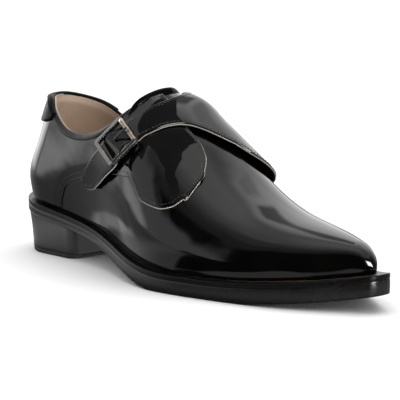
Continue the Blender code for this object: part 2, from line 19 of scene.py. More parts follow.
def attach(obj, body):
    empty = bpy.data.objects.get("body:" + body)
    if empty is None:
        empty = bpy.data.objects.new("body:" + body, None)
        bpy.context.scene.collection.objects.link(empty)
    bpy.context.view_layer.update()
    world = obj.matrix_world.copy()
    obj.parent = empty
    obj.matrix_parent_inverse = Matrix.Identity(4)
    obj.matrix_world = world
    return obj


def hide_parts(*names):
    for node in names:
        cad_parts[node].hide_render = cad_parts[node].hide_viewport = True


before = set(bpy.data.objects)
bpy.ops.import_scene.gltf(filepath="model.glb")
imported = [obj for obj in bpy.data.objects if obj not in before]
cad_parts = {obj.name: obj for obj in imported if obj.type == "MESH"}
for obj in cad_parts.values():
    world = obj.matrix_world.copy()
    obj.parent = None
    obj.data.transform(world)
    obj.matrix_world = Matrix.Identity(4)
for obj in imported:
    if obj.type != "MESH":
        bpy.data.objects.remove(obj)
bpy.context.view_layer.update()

MM = 0.001
DEGREE = math.pi / 180

# ------------------------------------------------------------ the shoe's sizes
LENGTH = 300 * MM
GAP = 0.42 * MM
WALL = 2.0 * MM
LEATHER = 1.4 * MM
STRAP_LEATHER = 1.6 * MM
PLUMB = 2.0 * MM
WELT_THICK = 3.0 * MM
INSOLE_THICK = 5.0 * MM
LIFT_THICK = 2.6 * MM
HEEL_BREAST = 64 * MM
HEEL_CORNER = 6 * MM
HEEL_TAPER = 3.4 * MM
HEEL_SEAT = 0.8 * MM
HEEL_ROUND = 31 * MM
TOE_ROUND = 5 * MM
TOE_PULL = 30 * MM
BACK_SEAM = 0.001 * MM
TOE_DROP = 17 * MM
LEAN_END = 64 * MM
SIDES_APART = 20 * MM
THROAT = 118 * MM
JOIN = 100 * MM
CENTRE = np.array([LENGTH / 2, -6.7 * MM, 0.0])

# By station: the sole's width to its outer and its inner side
SOLE_WIDTH = np.array([
    (0, 31, 30), (30, 31.5, 33), (65, 31.5, 31.5), (100, 37.5, 30), (135, 49, 30.5),
    (165, 54, 36), (190, 51, 40), (215, 45.5, 40), (240, 38, 36.5), (265, 26.5, 29.5),
    (285, 13, 18), (300, 4.5, 9.5)]) * MM
# By station: the heights of the sole's underside and of the welt's top
SOLE_HEIGHT = np.array([
    (0, 28, 36), (30, 24.5, 32.3), (60, 20, 28.3), (90, 15, 24), (115, 10, 19.4),
    (140, 4, 14.8), (165, -0.6, 11.8), (190, -0.8, 11.4), (220, -0.6, 12),
    (250, 2.5, 14.8), (280, 6.3, 18.5), (300, 10.3, 22.4)]) * MM
# By station: how far inside the sole's edge the last stands
MARGIN = np.array([(0, 4.3), (60, 3.9), (110, 3.9), (170, 5.6), (240, 6.4), (300, 6.5)]) * MM
# By station: x, y and z of the crown line
CROWN = np.array([
    (0, 38, 1, 121.5), (30, 54, 1.5, 121.5), (60, 72.5, 2.5, 120), (90, 95.5, 4, 116),
    (120, 122.5, 6, 108.2), (150, 151, 7.5, 94.4), (175, 175, 7.5, 76.5), (200, 198, 6, 60.5),
    (225, 222, 4.5, 50), (250, 246, 3.8, 44.5), (275, 270.3, 3.5, 40), (300, 293.7, 3, 34.5)]) * MM
# By station: the section's fullness, and its bulge on the outer and the inner side
SECTION = np.array([
    (0, 0.78, 0.5, 0.5), (30, 0.77, 2.2, 2.0), (60, 0.79, 4.8, 3.6), (90, 0.85, 7.2, 4.8),
    (120, 0.92, 8.2, 5.2), (150, 0.98, 6.6, 4.6), (175, 1.0, 4.6, 3.8), (200, 0.98, 3.0, 2.8),
    (225, 0.93, 2.2, 2.2), (250, 0.87, 1.9, 1.9), (275, 0.82, 1.7, 1.7),
    (300, 0.80, 1.6, 1.6)]) * (MM, 1, MM, MM)
# By height: how far the back of the heel leans in, on the outer and the inner side
HEEL_LEAN = np.array([
    (36, 0.6, 0.2), (49, -1.2, -1.4), (60, 0.7, 0.1), (72, 4.8, 2.8), (84, 7.1, 4.0),
    (101, 9.0, 4.8), (122, 9.8, 5.2)]) * MM
# By station: the topline's height on the outer and the inner side
TOPLINE = np.array([
    (0, 99.7, 99.7), (18, 97.6, 94.9), (37, 90, 88.8), (54, 83, 81.6), (71, 81, 81.3),
    (86, 83.4, 87.6), (97, 87.5, 94.8), (107, 94.5, 102.6), (118, 108.5, 108.5)]) * MM
# By station: the across value of the outer quarter's lower edge
LATERAL_SEAM = np.array([
    (49.8, 1.0), (50.3, 0.985), (51.4, 0.972), (53.2, 0.951), (56.2, 0.927), (61, 0.904), (66.5, 0.884),
    (74, 0.859), (90, 0.80), (105, 0.75), (121.5, 0.695), (130, 0.668), (136, 0.650), (141, 0.662),
    (146, 0.694), (153, 0.700), (161, 0.686), (167.8, 0.661), (172.3, 0.627), (176, 0.578),
    (178.7, 0.533), (180.2, 0.485), (180.6, 0.43)]) * (MM, 1)
# By station: the across value of the inner quarter's lower edge
MEDIAL_SEAM = np.array([
    (66, 1.0), (68, 0.96), (73, 0.89), (83, 0.83), (95, 0.785), (109, 0.75), (117, 0.75),
    (129, 0.78), (142, 0.79), (152, 0.77)]) * (MM, 1)
# By station: the across value of the outer quarter's upper edge, ahead of the throat
LATERAL_FRONT = np.array([
    (118, 0.10), (130, 0.13), (141, 0.163), (152, 0.184), (161, 0.185), (168, 0.207),
    (174, 0.252), (178, 0.307), (180, 0.372), (180.6, 0.43)]) * (MM, 1)
# The strap by across value: its back and front edge, and how far each stands off the last
STRAP = np.array([
    (0.80, 100, 151.5, 0.3, 0.5), (0.74, 100, 158.5, 0.3, 1.6), (0.68, 100, 165, 0.3, 3.2),
    (0.62, 100, 170.5, 0.3, 4.8), (0.55, 100, 175.5, 0.3, 6.0), (0.48, 100.5, 178.8, 0.3, 6.2),
    (0.40, 102.5, 180.8, 0.4, 5.4), (0.31, 107.5, 181.5, 0.7, 4.6), (0.21, 114, 180.6, 1.1, 4.0),
    (0.12, 120, 177.8, 1.6, 3.6), (0.05, 124.6, 174.2, 1.9, 3.4), (-0.02, 127, 169, 2.1, 3.4),
    (-0.09, 127.6, 160.8, 2.1, 3.2), (-0.18, 126.4, 150.2, 2.0, 2.9), (-0.25, 124.4, 145, 1.9, 2.7),
    (-0.32, 122, 141, 1.9, 2.6), (-0.38, 119.6, 137.5, 2.0, 2.4),
    (-0.42, 117.7, 135, 2.1, 2.3), (-0.455, 116.2, 133.4, 2.3, 2.2), (-0.495, 114, 131.2, 4.3, 4.2),
    (-0.54, 111.8, 129.2, 6.4, 6.3), (-0.585, 108.4, 127, 5.4, 5.2), (-0.635, 102.9, 124.6, 4.3, 4.2),
    (-0.70, 95.1, 117.3, 3.5, 3.5), (-0.75, 89.9, 110.2, 3.0, 3.0), (-0.80, 83.8, 102.6, 2.4, 2.4),
    (-0.845, 78.6, 95.2, 2.0, 2.0), (-0.868, 77.2, 89.8, 1.9, 1.9),
    (-0.880, 79.8, 84.2, 1.9, 1.9)]) * (1, MM, MM, MM, MM)
# Creases: side, station, across, depth, length and width in mm, lean in degrees
CREASES = [
    (-1, 104, 0.78, 0.22, 6, 2.4, 40), (-1, 112, 0.772, 0.32, 5.5, 2.2, 20),
    (-1, 121, 0.794, 0.36, 6, 2.4, 6), (-1, 131, 0.83, 0.34, 8, 2.6, 25),
    (-1, 146, 0.66, 0.22, 7, 3.0, -4), (-1, 141, 0.79, 0.26, 9, 3.4, -12),
    (-1, 158, 0.74, 0.24, 10, 3.2, 14), (-1, 172, 0.60, 0.20, 9, 3.0, -20),
    (-1, 96, 0.88, 0.20, 9, 4.0, -8), (1, 116, 0.70, 0.30, 8, 2.6, 18),
    (1, 135, 0.62, 0.28, 9, 3.0, -10), (1, 186, 0.55, 0.24, 12, 3.4, 10),
    (1, 196, 0.45, 0.20, 11, 3.0, -14)]
STRAP_KNEE = 2.2 * MM
KNEE_AT = 137 * MM
KNEE_RUN = 11 * MM
# The tongue by across value: its back and front edge, and how far the back one leans out
TONGUE = np.array([
    (-0.52, 119.5, 138, 1.6), (-0.46, 116.6, 140, 3.8), (-0.41, 114.8, 142, 5.6),
    (-0.35, 113.6, 145, 7.0), (-0.28, 113, 150, 7.2), (-0.18, 113, 153, 6.4), (-0.06, 113, 156, 5.7),
    (0.04, 113, 155, 5.3), (0.12, 113, 152, 4.9), (0.19, 113.6, 148, 4.2), (0.26, 116, 145, 2.4),
    (0.31, 119, 143, 0.2)]) * (1, MM, MM, MM)
TAB_REACH = 37 * MM
TAB_LOW_BACK = 83.5 * MM

BUCKLE_AT = Vector((121.8, -41.7, 82.6)) * MM
BUCKLE_OUT = Vector((0.05, -0.835, 0.547)).normalized()
BUCKLE_ALONG = Vector((0.50, 0.50, 0.71))
BUCKLE_LENGTH = 23.4 * MM
BUCKLE_WIDTH = 26.4 * MM
BAR = 2.8 * MM
FRAME_THICK = 2.4 * MM
PIN_RADIUS = 0.8 * MM
PIN_DEPTH = -0.5 * MM

# The buckle frame's section: share of the bar's width from inside, height in mm, part
RIM, CHANNEL, GROOVE = 0, 1, 2
FRAME_SECTION = [
    (0.10, 0.0, RIM), (0.03, 0.07, RIM), (0.0, 0.2, RIM), (0.0, 1.9, RIM), (0.03, 2.2, RIM),
    (0.09, 2.38, RIM), (0.14, 2.4, RIM), (0.18, 2.34, RIM), (0.20, 2.1, CHANNEL), (0.44, 2.1, GROOVE),
    (0.46, 1.9, GROOVE), (0.54, 1.9, GROOVE), (0.56, 2.1, CHANNEL), (0.80, 2.1, RIM), (0.82, 2.34, RIM),
    (0.86, 2.4, RIM), (0.91, 2.38, RIM), (0.97, 2.2, RIM), (1.0, 1.9, RIM), (1.0, 0.2, RIM),
    (0.97, 0.07, RIM), (0.90, 0.0, RIM)]
FACE_BANDS = range(4, 17)   # the bands of the section that face out of the shoe

# What only the looks have
LINING = 0.65 * MM          # the lining under the strap and the outer quarter
VAMP_SKIN = 0.9 * MM
LINING_SKIN = 0.7 * MM      # the lining of the whole inside
EDGE_RADIUS = 0.40 * MM     # the rounded, lighter edge of the free leather
EDGE_ROUND = 0.7 * MM       # rounding of a cut patent edge
EDGE_LEAD = 1.2 * MM        # how far from its edges a grid's lines are crowded
WELD = 0.01 * MM            # points nearer than this become one
SKIVE_LEFT, SKIVE_GAIN = 0.34, 0.66  # share of thickness at a pared edge, and what is regained
SKIVE_RUN = 8 * MM          # the distance over which it is regained
HEART = 40 * MM             # a height inside the shoe, to tell out from in
GIRTH = 70                  # mm over a side, from the sole's edge to the crown line
QUARTER_GIRTH = 55          # mm up a side, from the sole's edge to the topline
STITCH_PITCH = 2.3 * MM
STITCH_LENGTH = 1.75 * MM
STITCH_THICK = 0.38 * MM
ASK_ABOVE = 2.5 * MM        # a surface's nearest point is asked for from this height
ROW_INSET = 2.4 * MM        # a stitch row's distance from its edge
COLLAR_INSET = ROW_INSET + 0.6 * MM
TAB_INSET = 2.0 * MM
HOLES = (-0.505, -0.545, -0.79)  # where the strap's holes are, as across values
ROLL = 0.9 * MM             # how far the folded topline stands above the rim
# Where the folded topline runs down the lining: height over the rim and clearance, in mm
FOLD_DOWN = [(-0.9, -0.78), (-2.0, -0.96), (-3.5, -1.24), (-5.0, -1.60), (-5.2, -1.38)]
# The lining's deep colour is painted shade, darker towards the front inside the shoe
SHADE_FROM, SHADE_TO = -0.138, -0.106  # x where the lining's colour turns to its deep one
SOLE_POINTS, HEEL_POINTS = 190, 60   # points along one side of the sole and of the heel
CORNER_POINTS = 7           # points round a corner of the buckle
LOWER_BAR = 3 * CORNER_POINTS - 1    # where on the frame's loop its lower bar, towards the toe, starts
WAVES = 14                  # how many waves a ripple is made of


# ------------------------------------------------------- the surface of the last
def spline(xs, ys):
    """A natural cubic spline through the points, as a function of x."""
    count = len(xs)
    step = np.diff(xs)
    slope = np.diff(ys) / step
    system = np.eye(count)
    target = np.zeros(count)
    for i in range(1, count - 1):
        system[i, i - 1:i + 2] = step[i - 1], 2 * (step[i - 1] + step[i]), step[i]
        target[i] = 6 * (slope[i] - slope[i - 1])
    bend = np.linalg.solve(system, target)

    def read(x):
        x = np.clip(x, xs[0], xs[-1])
        i = np.clip(np.searchsorted(xs, x, side="right") - 1, 0, count - 2)
        a = (xs[i + 1] - x) / step[i]
        b = 1 - a
        curve = (a ** 3 - a) * bend[i] + (b ** 3 - b) * bend[i + 1]
        return a * ys[i] + b * ys[i + 1] + curve * step[i] ** 2 / 6
    return read


def column(table, index):
    """One column of a table as a spline of its first column."""
    rows = table if table[0, 0] < table[-1, 0] else table[::-1]
    return spline(rows[:, 0], rows[:, index])


LATERAL_WIDTH = column(SOLE_WIDTH, 1)
MEDIAL_WIDTH = column(SOLE_WIDTH, 2)
UNDERSIDE = column(SOLE_HEIGHT, 1)
TOPSIDE = column(SOLE_HEIGHT, 2)
MARGIN_AT = column(MARGIN, 1)
CROWN_AT = [column(CROWN, i) for i in (1, 2, 3)]
FULLNESS = column(SECTION, 1)
BULGE_AT = {-1: column(SECTION, 2), 1: column(SECTION, 3)}
LEAN_AT = {-1: column(HEEL_LEAN, 1), 1: column(HEEL_LEAN, 2)}
TOPLINE_AT = {-1: column(TOPLINE, 1), 1: column(TOPLINE, 2)}


def turn_of(station):
    """The even running value 0..1 that bunches stations at heel and toe."""
    return np.arccos(np.clip(1 - 2 * station / LENGTH, -1, 1)) / math.pi


def station_of(turn):
    return LENGTH * (1 - np.cos(math.pi * turn)) / 2


def sole_bottom(station):
    return np.maximum(UNDERSIDE(station), 0.0)


def slope_of(read, x):
    step = 0.1 * MM
    return (read(x + step) - read(x - step)) / (2 * step)


def edge_at(x, side, inset):
    """y of the line that runs inset inside the sole's edge, read at x."""
    lateral, medial = (read(x) - inset * np.hypot(1, slope_of(read, x))
                       for read in (LATERAL_WIDTH, MEDIAL_WIDTH))
    heel = np.clip((HEEL_ROUND - x) / (HEEL_ROUND - inset), 0, 1)
    toe = np.clip(1 - (LENGTH - inset - x) / TOE_ROUND, 0, 1)
    power = 3 - np.clip(inset / TOE_ROUND, 0, 1)
    cap = np.sqrt(1 - heel ** 2) * (1 - toe ** power) ** (1 / power)
    return (medial - lateral) / 2 + side * (medial + lateral) / 2 * cap


def inset_edge(station, side, inset):
    """x and y of the line inset inside the sole's edge (side -1 lateral, +1 medial)."""
    slope = slope_of(LATERAL_WIDTH if side < 0 else MEDIAL_WIDTH, station)
    heel = np.clip(1 - station / HEEL_ROUND, 0, 1)
    toe = np.clip(1 - (LENGTH - station) / TOE_PULL, 0, 1) ** 2
    x = station + inset * (heel + slope / np.hypot(1, slope) * (1 - heel) * (1 - toe) - toe)
    return x, edge_at(x, side, inset)


def eased(share):
    """A share 0..1 that starts and ends gently."""
    share = np.clip(share, 0, 1)
    return share * share * (3 - 2 * share)


def across_of(station, height, side):
    """The across value at which the last reaches a height above the floor."""
    low = TOPSIDE(station) + GAP + PLUMB
    share = np.clip((height - low) / (CROWN_AT[2](station) - low), 0, 1)
    rise = np.arcsin(share ** (1 / FULLNESS(station)))
    return side * (1 - rise * 2 / math.pi)


def last_point(station, across):
    """Points on the last; station and across are arrays of one shape."""
    margin = MARGIN_AT(station)
    lx, ly = inset_edge(station, -1, margin)
    mx, my = inset_edge(station, 1, margin)
    fx, fy = np.where(across < 0, lx, mx), np.where(across < 0, ly, my)
    fz = TOPSIDE(fx) + GAP + PLUMB
    cx, cy, cz = (read(station) for read in CROWN_AT)
    fall = np.clip(1 - (LENGTH - station) / TOE_DROP, 0, 1)
    base = TOPSIDE((lx + mx) / 2) + GAP + PLUMB
    cz = base + (cz - base) * (1 - fall ** 2.2) ** (1 / 2.2)
    cx = cx + ((lx + mx) / 2 - cx) * fall ** 8
    cy = cy + ((ly + my) / 2 - cy) * fall ** 8
    rise = (1 - np.abs(across)) * math.pi / 2
    dx, dy = fx - cx, fy - cy
    reach = np.hypot(dx, dy)
    bulge = np.where(across < 0, BULGE_AT[-1](station), BULGE_AT[1](station))
    bulge = bulge * np.minimum(1, reach / (10 * MM))
    z = fz + (cz - fz) * np.maximum(np.sin(rise), 0) ** FULLNESS(station)
    lean = (LEAN_AT[-1](z) + LEAN_AT[1](z)) / 2
    apart = (LEAN_AT[-1](z) - LEAN_AT[1](z)) / 2 * eased(station / SIDES_APART)
    lean = (lean - np.sign(across) * apart) * eased(1 - station / LEAN_END) * np.cos(rise)
    out = (reach * np.cos(rise) + bulge * np.sin(2 * rise) - lean) / np.maximum(reach, 1e-9)
    return np.stack([cx + dx * out, cy + dy * out, z], -1)


def last_normal(station, across):
    """Unit normals of the last, pointing out of the shoe."""
    step = 1e-3
    turn = np.clip(turn_of(station), 0.005, 0.995)
    along = last_point(station_of(turn + step), across) - last_point(station_of(turn - step), across)
    inside = np.clip(across, -0.99, 0.99)
    near = station_of(turn)
    over = last_point(near, inside + step) - last_point(near, inside - step)
    normal = np.cross(along, over)
    return normal / np.linalg.norm(normal, axis=-1, keepdims=True)


def raised(station, across, height):
    """Points a height above the last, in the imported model's frame."""
    station, across, height = np.broadcast_arrays(station, across, height)
    return last_point(station, across) + last_normal(station, across) * height[..., None] - CENTRE


def top_across(station, side):
    """Across value of the topline; 0 forward of the throat, where the upper is closed."""
    value = across_of(station, TOPLINE_AT[side](np.minimum(station, THROAT)), side)
    return np.where(station >= THROAT, 0.0, value)


def ripple(points, seed, height, length):
    """The soft unevenness of leather pulled over a last: waves in many directions."""
    rng = np.random.default_rng(seed)
    total = np.zeros(points.shape[:-1])
    for _ in range(WAVES):
        way = rng.normal(size=3)
        turns = 2 * math.pi / (length * rng.uniform(0.7, 1.6) * np.linalg.norm(way))
        total += np.cos(points @ way * turns + rng.uniform(0, 2 * math.pi))
    return total * height / WAVES ** 0.5


def creases(stations, across, side):
    """Shallow grooves worn into the leather, each with its own place, depth, length, width and lean."""
    total = 0 * stations * across
    for which, station, row, deep, length, width, lean in CREASES:
        if which == side:
            ahead, up = (stations - station * MM) / MM, (across * side - row) * GIRTH
            cosine, sine = math.cos(lean * DEGREE), math.sin(lean * DEGREE)
            run, off = ahead * cosine + up * sine, up * cosine - ahead * sine
            total = total - deep * MM * np.exp(-(run / length) ** 2 - (off / width) ** 2)
    return total


# ------------------------------------------------------------------ mesh helpers
def grid_faces(rows, columns, start=0):
    """Quads of a grid of points stored row by row."""
    r, c = np.meshgrid(np.arange(rows - 1), np.arange(columns - 1), indexing="ij")
    a = (start + r * columns + c).ravel()
    return np.stack([a, a + 1, a + columns + 1, a + columns], -1).tolist()


def bands(rows, girth, start=0, close=False):
    """Faces between closed lines of girth points, one line after the other."""
    faces = []
    for row in range(rows if close else rows - 1):
        a, b = start + row * girth, start + (row + 1) % rows * girth
        faces += [(a + i, a + (i + 1) % girth, b + (i + 1) % girth, b + i) for i in range(girth)]
    return faces


def tube(rows, girth, start=0):
    """Bands closed by one face at each end."""
    end = start + (rows - 1) * girth
    return bands(rows, girth, start) + [tuple(range(start + girth - 1, start - 1, -1)),
                                        tuple(range(end, end + girth))]


def strips(start, count):
    """Strips across a closed line of the sole, which close it."""
    faces = []
    for i in range(count // 2):
        corners = [start + i, start + i + 1, start + count - i - 1, start + (count - i) % count]
        faces.append([k for n, k in enumerate(corners) if k not in corners[:n]])
    return faces


def unit(vectors):
    """Vectors brought to length 1."""
    return vectors / np.maximum(np.linalg.norm(vectors, axis=-1, keepdims=True), 1e-9)


def faces_out(parts):
    """Whether a sheet, given as areas, normals and middles, mostly faces out of the shoe."""
    return sum(area * (normal.y * middle.y + normal.z * (middle.z - HEART))
               for area, normal, middle in parts) >= 0


def tree_of(points):
    """What find() is asked of: the nearest of the points."""
    tree = KDTree(len(points))
    for i, point in enumerate(points):
        tree.insert(point, i)
    tree.balance()
    return tree


def belongs(made, nodes=()):
    """Puts a piece on the shoe's one body and hides the imported parts it stands for."""
    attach(made, "root")
    if nodes:
        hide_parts(*nodes)
    return made


def placed(name, data):
    """A new object in the scene."""
    made = bpy.data.objects.new(name, data)
    bpy.context.scene.collection.objects.link(made)
    return made


def solid(name, points, faces, paint, nodes=(), sharp=40, merge=0.0):
    """A piece from points and faces."""
    mesh = bpy.data.meshes.new(name)
    build = bmesh.new()
    verts = [build.verts.new(p) for p in points]
    for face in faces:
        build.faces.new([verts[i] for i in face])
    if merge:
        bmesh.ops.remove_doubles(build, verts=build.verts, dist=merge)
    bmesh.ops.recalc_face_normals(build, faces=build.faces)
    build.to_mesh(mesh)
    build.free()
    mesh.shade_smooth()
    mesh.set_sharp_from_angle(angle=sharp * DEGREE)
    mesh.materials.append(paint)
    return belongs(placed(name, mesh), nodes)


def crowding(lead, total, count):
    """Shares 0..1 that are close together within lead of both ends."""
    near = np.array([0, 0.10, 0.24, 0.42, 0.65, 1.0]) * lead / total
    return np.concatenate([near[:-1], np.linspace(near[-1], 1 - near[-1], count), 1 - near[-2::-1]])


def leather(name, grids, thickness, paint, nodes=(), blunt=0.3, skived=()):
    """A cut piece of leather: grids joined to one sheet, thickened outwards, its top edge rounded over.

    At the rim the share blunt of the thickness is left. Towards the skived line the leather is
    pared thin, so that its edge lies flat."""
    sheet = bmesh.new()
    for grid in grids:
        verts = [sheet.verts.new(p) for p in grid.reshape(-1, 3)]
        for face in grid_faces(*grid.shape[:2]):
            sheet.faces.new([verts[i] for i in face])
    bmesh.ops.remove_doubles(sheet, verts=sheet.verts, dist=WELD)
    bmesh.ops.dissolve_degenerate(sheet, edges=sheet.edges, dist=WELD / 10)
    bmesh.ops.recalc_face_normals(sheet, faces=sheet.faces)
    if not faces_out((f.calc_area(), f.normal, f.calc_center_median()) for f in sheet.faces):
        bmesh.ops.reverse_faces(sheet, faces=sheet.faces)
    sheet.normal_update()
    sheet.verts.index_update()
    rim = [edge for edge in sheet.edges if edge.is_boundary]
    marks = []
    for edge in rim:
        a, b = edge.verts[0].co, edge.verts[1].co
        steps = max(1, int((b - a).length / (0.25 * MM)))
        marks += [a.lerp(b, i / steps) for i in range(steps + 1)]
    rim_tree, skived_tree = tree_of(marks), tree_of(skived)
    low, high = [], []
    for vert in sheet.verts:
        away = min(1.0, rim_tree.find(vert.co)[2] / EDGE_ROUND)
        full = blunt + (1 - blunt) * math.sqrt(1 - (1 - away) ** 2)
        if len(skived):
            full *= SKIVE_LEFT + SKIVE_GAIN * eased(min(1.0, skived_tree.find(vert.co)[2] / SKIVE_RUN))
        low.append(vert.co.copy())
        high.append(vert.co + vert.normal * thickness * full)
    count = len(low)
    faces = [[v.index + count for v in f.verts] for f in sheet.faces]
    faces += [[v.index for v in reversed(f.verts)] for f in sheet.faces]
    for edge in rim:
        a, b = edge.link_loops[0].vert.index, edge.link_loops[0].link_loop_next.vert.index
        faces.append([b, a, a + count, b + count])
    sheet.free()
    return solid(name, low + high, faces, paint, nodes)


def walled(made, thickness, offset):
    """Gives a sheet a wall, to one side of it (offset -1 or 1) or about it (0)."""
    wall = made.modifiers.new("wall", "SOLIDIFY")
    wall.thickness = thickness
    wall.offset = offset


def skin(name, grids, thickness, paint, nodes=()):
    """A lasted skin: grids joined to one smooth sheet, thickened inwards."""
    points, faces = [], []
    for grid in grids:
        faces += grid_faces(*grid.shape[:2], len(points))
        points += list(grid.reshape(-1, 3))
    made = solid(name, points, faces, paint, nodes, sharp=60, merge=0.02 * MM)
    if not faces_out((p.area, p.normal, p.center) for p in made.data.polygons):
        made.data.flip_normals()
    walled(made, thickness, -1)


def surface_of(made):
    """What find_nearest() is asked of: a piece's surface."""
    mesh = made.data
    return BVHTree.FromPolygons([v.co for v in mesh.vertices], [list(p.vertices) for p in mesh.polygons])


def even(path, pitch):
    """Points and directions an even pitch apart along a path."""
    step = np.linalg.norm(np.diff(path, axis=0), axis=1)
    run = np.concatenate([[0], np.cumsum(step)])
    keep = np.concatenate([[True], step > 1e-7])
    run, path = run[keep], path[keep]

    def read(marks):
        return np.stack([np.interp(marks, run, path[:, i]) for i in range(3)], -1)
    marks = np.arange(pitch / 2, run[-1], pitch)
    return read(marks), unit(read(marks + 0.6 * MM) - read(marks - 0.6 * MM))


def beside(surface, path, guide, inset):
    """The line on a surface that runs inset from an edge, on the side where the surface is."""
    inward = unit(np.cross(guide, unit(np.gradient(path, axis=0))))
    best = None
    for sign in (1, -1):
        asked = path + guide * ASK_ABOVE + inward * inset * sign
        found = [surface.find_nearest(Vector(p)) for p in asked]
        far = float(np.mean([hit[3] for hit in found]))
        if best is None or far < best[0]:
            best = far, np.array([hit[0] for hit in found])
    return best[1]


def stitches(name, surface, paths, paint):
    """Rows of separate stitches, each a short rounded thread that dips in at both ends."""
    ends = np.array([-1, -0.72, 0, 0.72, 1])
    girth = np.array([0.35, 0.85, 1.0, 0.85, 0.35])
    dip = -0.55 * ends ** 2
    turns = np.arange(6) * math.pi / 3
    points, faces = [], []
    for path, guide in paths:
        at, way = even(path, STITCH_PITCH)
        nearest = np.linalg.norm(path[:, None] - at[None], axis=-1).argmin(0)
        for foot, along, near in zip(at, way, nearest):
            up = guide[near]
            if surface:
                hit = surface.find_nearest(Vector(foot + up * ASK_ABOVE))
                foot = np.array(hit[0])
                up = np.array(hit[1]) if np.array(hit[1]) @ up > 0.3 else up
            foot = foot + up * 0.12 * MM
            along = along - up * (along @ up)
            along /= np.linalg.norm(along)
            side = np.cross(up, along)
            faces += tube(len(ends), len(turns), len(points))
            for end, thick, deep in zip(ends, girth, dip):
                ring = foot + along * end * STITCH_LENGTH / 2 + up * deep * STITCH_THICK / 2
                points += [ring + (side * math.cos(turn) + up * math.sin(turn)) * thick * STITCH_THICK / 2
                           for turn in turns]
    solid(name, points, faces, paint, sharp=70)


def bead(name, paths, radius, paint):
    """A round bead along paths, each given with its guide normals."""
    turns = np.arange(8) * math.pi / 4
    points, faces = [], []
    for path, guide in paths:
        apart = np.concatenate([[True], np.linalg.norm(np.diff(path, axis=0), axis=1) > 1e-6])
        path, guide = path[apart], guide[apart]
        way = unit(np.gradient(path, axis=0))
        side = unit(np.cross(guide, way))
        up = np.cross(way, side)
        faces += tube(len(path), len(turns), len(points))
        for i in range(len(path)):
            points += [path[i] + (side[i] * math.cos(t) + up[i] * math.sin(t)) * radius for t in turns]
    solid(name, points, faces, paint, sharp=70)


def sewn(name, made, *edges):
    """Rows of black stitches on a piece, each beside an edge (a path and its guide) by an inset."""
    surface = surface_of(made)
    rows = [(beside(surface, *edge, inset), edge[1]) for edge, inset in edges]
    stitches(name, surface, rows, BLACK_THREAD)


# --------------------------------------------------------------------- materials
class Paint:
    """A material with its node tree, and short ways to add nodes."""

    def __init__(self, name):
        self.made = bpy.data.materials.new(name)
        self.made.use_nodes = True
        self.tree = self.made.node_tree
        self.shader = self.tree.nodes["Principled BSDF"]
        self.place = self.add("ShaderNodeTexCoord").outputs["Object"]

    def add(self, kind, **settings):
        node = self.tree.nodes.new(kind)
        for key, value in settings.items():
            setattr(node, key, value)
        return node

    def join(self, source, target):
        self.tree.links.new(source, target)

    def set(self, **values):
        """Sets the shader's own sockets; underscores stand for spaces."""
        for key, value in values.items():
            self.shader.inputs[key.replace("_", " ")].default_value = value

    def noise(self, per_metre, detail=3.0, rough=0.5, stretch=None):
        """Noise in 0..1 with that many cells a metre."""
        node = self.add("ShaderNodeTexNoise")
        node.inputs["Scale"].default_value = per_metre
        node.inputs["Detail"].default_value = detail
        node.inputs["Roughness"].default_value = rough
        source = self.place
        if stretch:
            mapping = self.add("ShaderNodeMapping")
            mapping.inputs["Scale"].default_value = stretch
            self.join(source, mapping.inputs["Vector"])
            source = mapping.outputs["Vector"]
        self.join(source, node.inputs["Vector"])
        return node.outputs["Fac"]

    def cells(self, per_metre):
        """Cell distances in 0..1, for grain and pores."""
        node = self.add("ShaderNodeTexVoronoi")
        node.inputs["Scale"].default_value = per_metre
        self.join(self.place, node.inputs["Vector"])
        return node.outputs["Distance"]

    def ramp(self, source, stops):
        """A colour ramp; each stop is a position and a grey level or a colour."""
        node = self.add("ShaderNodeValToRGB")
        while len(node.color_ramp.elements) < len(stops):
            node.color_ramp.elements.new(0.5)
        for element, (position, colour) in zip(node.color_ramp.elements, stops):
            element.position = position
            element.color = (colour, colour, colour, 1) if isinstance(colour, float) else (*colour, 1)
        self.join(source, node.inputs["Fac"])
        return node.outputs["Color"]

    def spread(self, socket, source, stops):
        """Sets one of the shader's sockets from a colour ramp."""
        self.join(self.ramp(source, stops), self.shader.inputs[socket])

    def bump(self, source, distance, after=None):
        """A bump of that many metres, over an earlier one."""
        node = self.add("ShaderNodeBump")
        node.inputs["Strength"].default_value = 1.0
        node.inputs["Distance"].default_value = distance
        self.join(source, node.inputs["Height"])
        if after is not None:
            self.join(after, node.inputs["Normal"])
        return node.outputs["Normal"]


def patent_paint(name, tone=1.0, gloss=0.5):
    """Black patent leather: a mirror film with a little orange peel, faint smudges and fine grain below."""
    paint = Paint(name)
    deep = (0.0009 * tone, 0.0009 * tone, 0.0010 * tone)
    light = (0.0022 * tone, 0.0022 * tone, 0.0020 * tone)
    paint.spread("Base Color", paint.noise(70, 4), [(0.35, deep), (0.7, light)])
    paint.spread("Roughness", paint.noise(48, 5, 0.62), [(0.40, 0.035), (0.62, 0.055), (0.78, 0.11)])
    peel = paint.bump(paint.noise(420, 2, 0.4), 0.0000045)
    grain = paint.bump(paint.cells(1900), 0.0000012, peel)
    paint.join(grain, paint.shader.inputs["Normal"])
    paint.join(peel, paint.shader.inputs["Coat Normal"])
    paint.set(IOR=1.5, Specular_IOR_Level=gloss, Coat_Weight=0.12, Coat_Roughness=0.02, Coat_IOR=1.5)
    return paint.made


